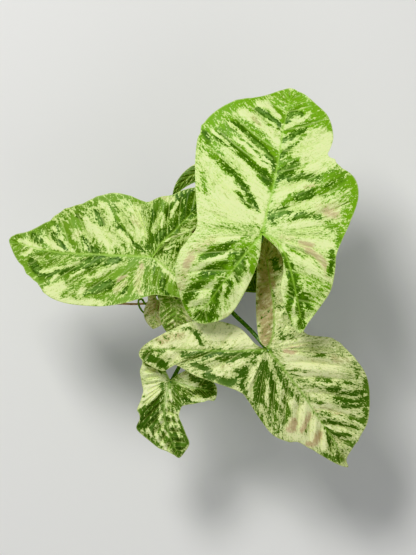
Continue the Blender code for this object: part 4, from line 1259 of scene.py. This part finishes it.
def rounded(points, radius, steps=4):
    """The profile with every corner between its two ends rounded off."""
    made = [points[0]]
    for before, corner, after in zip(points, points[1:], points[2:]):
        corner = np.array(corner, float)
        arms = [np.array(p, float) - corner for p in (before, after)]
        cut = min([radius] + [np.linalg.norm(arm) * 0.45 for arm in arms])
        a, b = (corner + arm / np.linalg.norm(arm) * cut for arm in arms)
        for k in range(steps + 1):
            s = k / steps
            made.append(tuple((1 - s) ** 2 * a + 2 * s * (1 - s) * corner + s * s * b))
    return made + [points[-1]]


def make_pot():
    """A thin moulded pot with a rim band, a hollowed underside and a ring of drain holes."""
    band = POT_HEIGHT - POT_RIM_BAND
    rim_inside = POT_RIM_RADIUS - POT_WALL
    profile = [
        (0, 0), (POT_MIDDLE, 0), (POT_MIDDLE + 1, POT_HOLLOW), (POT_RING - 1, POT_HOLLOW), (POT_RING, 0),
        (POT_FOOT_RADIUS - 0.4, 0), (POT_BODY_RADIUS, band), (POT_RIM_RADIUS, band),
        (POT_RIM_RADIUS, POT_HEIGHT), (rim_inside - 0.9, POT_HEIGHT), (rim_inside - 1.6, band + 2.0),
        (pot_inner_radius(band), band), (pot_inner_radius(POT_FLOOR), POT_FLOOR), (0, POT_FLOOR),
    ]
    pot = closed_piece("nursery_pot", turned_mesh("nursery_pot", rounded(profile, POT_ROUNDING), POT_SIDES))
    for k in range(DRAIN_COUNT):
        angle = 2 * math.pi * (k + DRAIN_TURN) / DRAIN_COUNT
        bpy.ops.mesh.primitive_cylinder_add(
            vertices=32, radius=DRAIN_RADIUS * MM, depth=8 * MM,
            location=(DRAIN_RING * math.cos(angle) * MM, DRAIN_RING * math.sin(angle) * MM, 2 * MM))
        drill = bpy.context.object
        modifier = pot.modifiers.new("drain", "BOOLEAN")
        modifier.operation, modifier.solver, modifier.object = "DIFFERENCE", "EXACT", drill
        graph = bpy.context.evaluated_depsgraph_get()
        bored = bpy.data.meshes.new_from_object(pot.evaluated_get(graph))
        pot.modifiers.remove(modifier)
        pot.data = bored
        bpy.data.objects.remove(drill)
    pot.data.set_sharp_from_angle(angle=math.radians(40))
    pot.data.materials.clear()
    pot.data.materials.append(pot_material())
    return pot


def soil_relief(radius, height, angles):
    """Lumps on the top of the potting mix, fading out at the stem and at the pot's wall."""
    inner = stem_radius(np.array(SOIL_LEVEL)) + 0.4
    if height < SOIL_LEVEL - 0.5 or radius < inner + 0.1:
        return 0.0
    fade = min(1.0, (pot_inner_radius(SOIL_LEVEL) - radius) / 6) * min(1.0, (radius - inner) / 1.5)
    waves = np.sin(5 * angles + 0.21 * radius) + np.sin(9 * angles - 0.33 * radius + 1)
    fine = [noise.noise(Vector((radius * math.cos(a) / 2.2, radius * math.sin(a) / 2.2, 1.0)))
            + 0.6 * noise.noise(Vector((radius * math.cos(a), radius * math.sin(a), 5.0))) for a in angles]
    return max(fade, 0.0) * (0.8 * (waves + math.cos(0.7 * radius)) + 0.7 * np.array(fine))


def make_soil(skin):
    """The potting mix: it fills the pot, rises towards the stem and has a hole for the stem's foot."""
    outer_low = pot_inner_radius(POT_FLOOR + SOIL_SHOULDER) - SOIL_FOOT_GAP
    outer_high = pot_inner_radius(SOIL_LEVEL) - SOIL_TOP_GAP
    hole = float(stem_radius(np.array(SOIL_LEVEL))) - 0.1
    bottom = POT_FLOOR + SOIL_FOOT_GAP
    profile = [(0, bottom), (outer_low - 2, bottom), (outer_low, POT_FLOOR + SOIL_SHOULDER)]
    profile.append((outer_high, SOIL_LEVEL - 1))
    profile += [(outer_high + (hole - outer_high) * share, SOIL_LEVEL + SOIL_RISE * share)
                for share in np.linspace(0.02, 1, 60)]
    profile += [(hole, SOIL_LEVEL - STEM_HOLE_DEPTH), (0, SOIL_LEVEL - STEM_HOLE_DEPTH)]
    soil = closed_piece("peat_bed", turned_mesh("peat_bed", profile, 150, soil_relief))
    soil.data.materials.append(skin)
    return soil


def crumb_tree():
    """Loose pieces scattered on the potting mix: irregular lumps, flattened and turned at random."""
    tree, given, ids = node_group("Crumbs", {
        "Density": "NodeSocketFloat", "Seed": "NodeSocketInt", "Size": "NodeSocketFloat",
        "Flatness": "NodeSocketFloat", "Raggedness": "NodeSocketFloat", "Stuff": "NodeSocketMaterial",
    })
    points = add(tree, "GeometryNodeDistributePointsOnFaces",
                 {"Mesh": given["Geometry"], "Density": given["Density"], "Seed": given["Seed"]})
    # Each lies nearly level and turned any way, and is 0.45 to 1.3 times the given size
    turn = add(tree, "FunctionNodeRandomValue",
               {0: (-0.5, -0.5, 0.0), 1: (0.5, 0.5, 6.28), "Seed": given["Seed"]}, data_type="FLOAT_VECTOR")
    grade = add(tree, "FunctionNodeRandomValue", {2: 0.45, 3: 1.3, "Seed": given["Seed"]}, out=1,
                data_type="FLOAT")
    size = add(tree, "ShaderNodeMath", {0: given["Size"], 1: grade}, operation="MULTIPLY")
    thick = add(tree, "ShaderNodeMath", {0: size, 1: given["Flatness"]}, operation="MULTIPLY")
    wide = add(tree, "ShaderNodeMath", {0: size, 1: 0.7}, operation="MULTIPLY")
    scale = add(tree, "ShaderNodeCombineXYZ", {0: size, 1: wide, 2: thick})
    lump = add(tree, "GeometryNodeMeshIcoSphere", {"Radius": 1.0, "Subdivisions": 2})
    made = add(tree, "GeometryNodeInstanceOnPoints",
               {"Points": points, "Instance": lump, "Rotation": turn, "Scale": scale})
    made = add(tree, "GeometryNodeRealizeInstances", {"Geometry": made})
    place = add(tree, "GeometryNodeInputPosition")
    rough = add(tree, "ShaderNodeTexNoise", {"Vector": place, "Scale": 1 / (1.4 * MM), "Detail": 1}, out=1)
    rough = add(tree, "ShaderNodeVectorMath", {0: rough, 1: (0.5, 0.5, 0.5)}, operation="SUBTRACT")
    ragged = add(tree, "ShaderNodeMath", {0: given["Size"], 1: given["Raggedness"]}, operation="MULTIPLY")
    offset = add(tree, "ShaderNodeVectorMath", {0: rough, "Scale": ragged}, operation="SCALE")
    made = add(tree, "GeometryNodeSetPosition", {"Geometry": made, "Offset": offset})
    made = add(tree, "GeometryNodeSetMaterial", {"Geometry": made, "Material": given["Stuff"]})
    add(tree, "NodeGroupOutput", {0: made})
    return tree, ids


def soil_face(outer):
    """A ring from the stem out to this radius, just above the potting mix, for loose pieces to lie on."""
    inner = float(stem_radius(np.array(SOIL_LEVEL))) + 1.5
    return turned_mesh("soil_face", [(inner, SOIL_LEVEL + 1.0), (outer, SOIL_LEVEL + 0.2)], 48)


def petiole_material():
    """Smooth fleshy stalk, satin, streaked lengthwise with paler green."""
    material, tree, shader = new_material("petiole_skin")
    place = add(tree, "ShaderNodeTexCoord", out=3)
    scale = (1 / (1.4 * MM), 1 / (1.4 * MM), 1 / (14 * MM))
    drawn = add(tree, "ShaderNodeMapping", {"Vector": place, "Scale": scale})
    streak = add(tree, "ShaderNodeTexNoise", {"Vector": drawn, "Scale": 1, "Detail": 3})
    ramp = set_stops(add(tree, "ShaderNodeValToRGB", {0: streak}),
                     (0.42, linear("3b651c")), (0.56, linear("4a7626")), (0.66, linear("93ad5c")))
    grain = add(tree, "ShaderNodeTexNoise", {"Vector": place, "Scale": 1 / (0.6 * MM), "Detail": 2})
    bump = add(tree, "ShaderNodeBump", {"Height": grain, "Strength": 0.2, "Distance": 0.1 * MM})
    feed(tree, shader, {"Base Color": ramp, "Normal": bump, "Roughness": 0.38, "IOR": 1.42})
    return material


def stem_material():
    """Green stem, broken up by corky brown, which gains towards the soil."""
    material, tree, shader = new_material("stem_skin")
    place = add(tree, "ShaderNodeTexCoord", out=3)
    mottle = add(tree, "ShaderNodeTexNoise", {"Vector": place, "Scale": 1 / (3 * MM), "Detail": 4})
    height = add(tree, "ShaderNodeSeparateXYZ", {0: place}, out=2)
    low = add(tree, "ShaderNodeMapRange", {
        "Value": height, "From Min": 0.068, "From Max": 0.1, "To Min": 0.35, "To Max": 0.0})
    mix = add(tree, "ShaderNodeMath", {0: mottle, 1: low}, operation="ADD")
    ramp = set_stops(add(tree, "ShaderNodeValToRGB", {0: mix}),
                     (0.4, linear("5c8a35")), (0.85, linear("7b6440")))
    bump = add(tree, "ShaderNodeBump", {"Height": mottle, "Strength": 0.5, "Distance": 0.3 * MM})
    feed(tree, shader, {"Base Color": ramp, "Normal": bump, "Roughness": 0.5, "IOR": 1.42})
    return material


def dry_material(name, hollows, ridges, grain, detail, roughness, strength, depth):
    """Dry matter whose colour and surface break up together, at a grain and a depth in millimetres.

    The colours of its hollows and ridges are each given with the place where it is at its fullest.
    """
    material, tree, shader = new_material(name)
    place = add(tree, "ShaderNodeTexCoord", out=3)
    spots = add(tree, "ShaderNodeTexNoise", {"Vector": place, "Scale": 1 / (grain * MM), "Detail": detail})
    ramp = set_stops(add(tree, "ShaderNodeValToRGB", {0: spots}),
                     *((at, linear(colour)) for at, colour in (hollows, ridges)))
    bump = add(tree, "ShaderNodeBump", {"Height": spots, "Strength": strength, "Distance": depth * MM})
    feed(tree, shader, {"Base Color": ramp, "Normal": bump, "Roughness": roughness})
    return material


def root_material(name, hollows, ridges):
    """Aerial root: dry papery skin with paler fibres."""
    return dry_material(name, (0.35, hollows), (0.65, ridges), 2.2, 4, 0.75, 0.6, 0.2)


def speckled_material(name, hollows, ridges, grain, roughness):
    """Crumb of bark, peat or expanded mineral: matt, pitted, darker in its pits."""
    return dry_material(name, (0.36, hollows), (0.68, ridges), grain, 5, roughness, 0.8, 0.4)


def pot_material():
    """Moulded black polypropylene: a fine satin grain from the tool, with dusty scuffs."""
    material, tree, shader = new_material("black_polypropylene")
    place = add(tree, "ShaderNodeTexCoord", out=3)
    dust = add(tree, "ShaderNodeTexNoise", {
        "Vector": place, "Scale": 1 / (14 * MM), "Detail": 6, "Roughness": 0.65})
    tint = add(tree, "ShaderNodeMapRange", {"Value": dust, "From Min": 0.5, "From Max": 0.75, "To Max": 0.5})
    colour = add(tree, "ShaderNodeMix", {0: tint, 6: linear("1d1d1f"), 7: linear("4a4743")}, out=2,
                 data_type="RGBA")
    gloss = add(tree, "ShaderNodeMapRange", {
        "Value": dust, "From Min": 0.3, "From Max": 0.7, "To Min": 0.38, "To Max": 0.6})
    grain = add(tree, "ShaderNodeTexNoise", {"Vector": place, "Scale": 1 / (0.5 * MM), "Detail": 2})
    bump = add(tree, "ShaderNodeBump", {"Height": grain, "Strength": 0.15, "Distance": 0.1 * MM})
    feed(tree, shader, {"Base Color": colour, "Roughness": gloss, "Normal": bump, "IOR": 1.49})
    return material


def finish_piece(piece, slot, *nodes):
    """Hands a piece to the frame: it stands for these nodes, which are hidden. The slot is not used."""
    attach(piece, "root")
    if nodes:
        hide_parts(*nodes)


def make_plant():
    """The leaves on their stalks, the stem that carries them, and its aerial roots."""
    under = leaf_material("leaf_underside", UNDERSIDE)
    tops = {key: leaf_material("leaf_skin_" + key, colours) for key, colours in FOLIAGE.items()}
    stalks, ids = stalk_tree()
    stalk_skin = petiole_material()
    for name in list(BLADES) + list(YOUNG):
        young = name in YOUNG
        blade = young_blade(name) if young else measured_blade(name)
        leaf = blade.skin([tops.get(name, tops["young"]), under])
        finish_piece(leaf, "young_leaf" if young else "marbled_leaf", "blade_" + name)
        scale = YOUNG_PETIOLE_SCALE if young else 1.0
        petiole = make_petiole(blade, PETIOLES[name], scale, stalks, ids, stalk_skin)
        finish_piece(petiole, "petiole_green", "petiole_" + name)
    finish_piece(make_stem(stalks, ids, stem_material()), "stem_green", "stem")
    # Both roots' colours are set lighter than their own to make up for the leaves' shade over them: painted
    # light
    dry = root_material("dry_aerial_root", "a78a5c", "cfb183")
    fresh = root_material("fresh_aerial_root", "5c8330", "8db155")
    finish_piece(make_root("long_aerial_root", "root_long", stalks, ids, dry), "root_tan", "root_long")
    curled = make_root("curled_aerial_root", "root_curled", stalks, ids, fresh)
    finish_piece(curled, "root_tan", "root_curled")


def make_holder():
    """The pot, the potting mix in it, and the bark and perlite that lie on the mix."""
    finish_piece(make_pot(), "pot_plastic", "pot")
    peat = speckled_material("damp_peat", "1b120b", "4a3423", 1.5, 0.95)
    finish_piece(make_soil(peat), "potting_mix", "potting_mix")
    crumbs, ids = crumb_tree()
    stuffs = {
        "bark_chips": speckled_material("pine_bark", "2b1a10", "6e4a2e", 2.5, 0.9),
        "perlite_grains": speckled_material("perlite", "c9c7c0", "f1efe9", 0.8, 0.85),
    }
    for name, (density, seed, size, flatness, ragged) in LOOSE.items():
        face = soil_face(pot_inner_radius(SOIL_LEVEL) - 2.5)
        piece = grow(name, face, crumbs, ids, {
            "Density": density, "Seed": seed, "Size": size * MM, "Flatness": flatness,
            "Raggedness": ragged, "Stuff": stuffs[name],
        })
        finish_piece(piece, "potting_mix")


def make_studio():
    """A pale matt floor, an even sky, two soft lamps, and the camera straight above."""
    bpy.ops.mesh.primitive_circle_add(vertices=96, radius=FLOOR_RADIUS, fill_type="NGON")
    floor = bpy.context.object
    floor.name = "floor"
    paper, tree, shader = new_material("matt_paper")
    feed(tree, shader, {"Base Color": linear("e9e8e4"), "Roughness": 0.9})
    floor.data.materials.append(paper)

    scene = bpy.context.scene
    scene.world = bpy.data.worlds.new("studio")
    scene.world.use_nodes = True
    sky = scene.world.node_tree
    feed(sky, sky.nodes["Background"], {"Color": SKY, "Strength": SKY_STRENGTH})
    for name, (place, size, power) in LAMPS.items():
        light = bpy.data.lights.new(name, "AREA")
        light.size, light.energy = size, power
        lamp = bpy.data.objects.new(name, light)
        lamp.location = place
        lamp.rotation_euler = (Vector(LIT_POINT) - Vector(place)).to_track_quat("-Z", "Y").to_euler()
        scene.collection.objects.link(lamp)

    lens = bpy.data.cameras.new("camera")
    lens.sensor_width = SENSOR
    lens.lens = SENSOR * CAMERA[2] / VIEW_HEIGHT
    lens.clip_start, lens.clip_end = 0.05, 20.0
    camera = bpy.data.objects.new("camera", lens)
    camera.location = Vector(CAMERA) * MM
    scene.collection.objects.link(camera)
    scene.camera = camera


make_plant()
make_holder()
make_studio()
bpy.context.scene.view_settings.view_transform = "Khronos PBR Neutral"
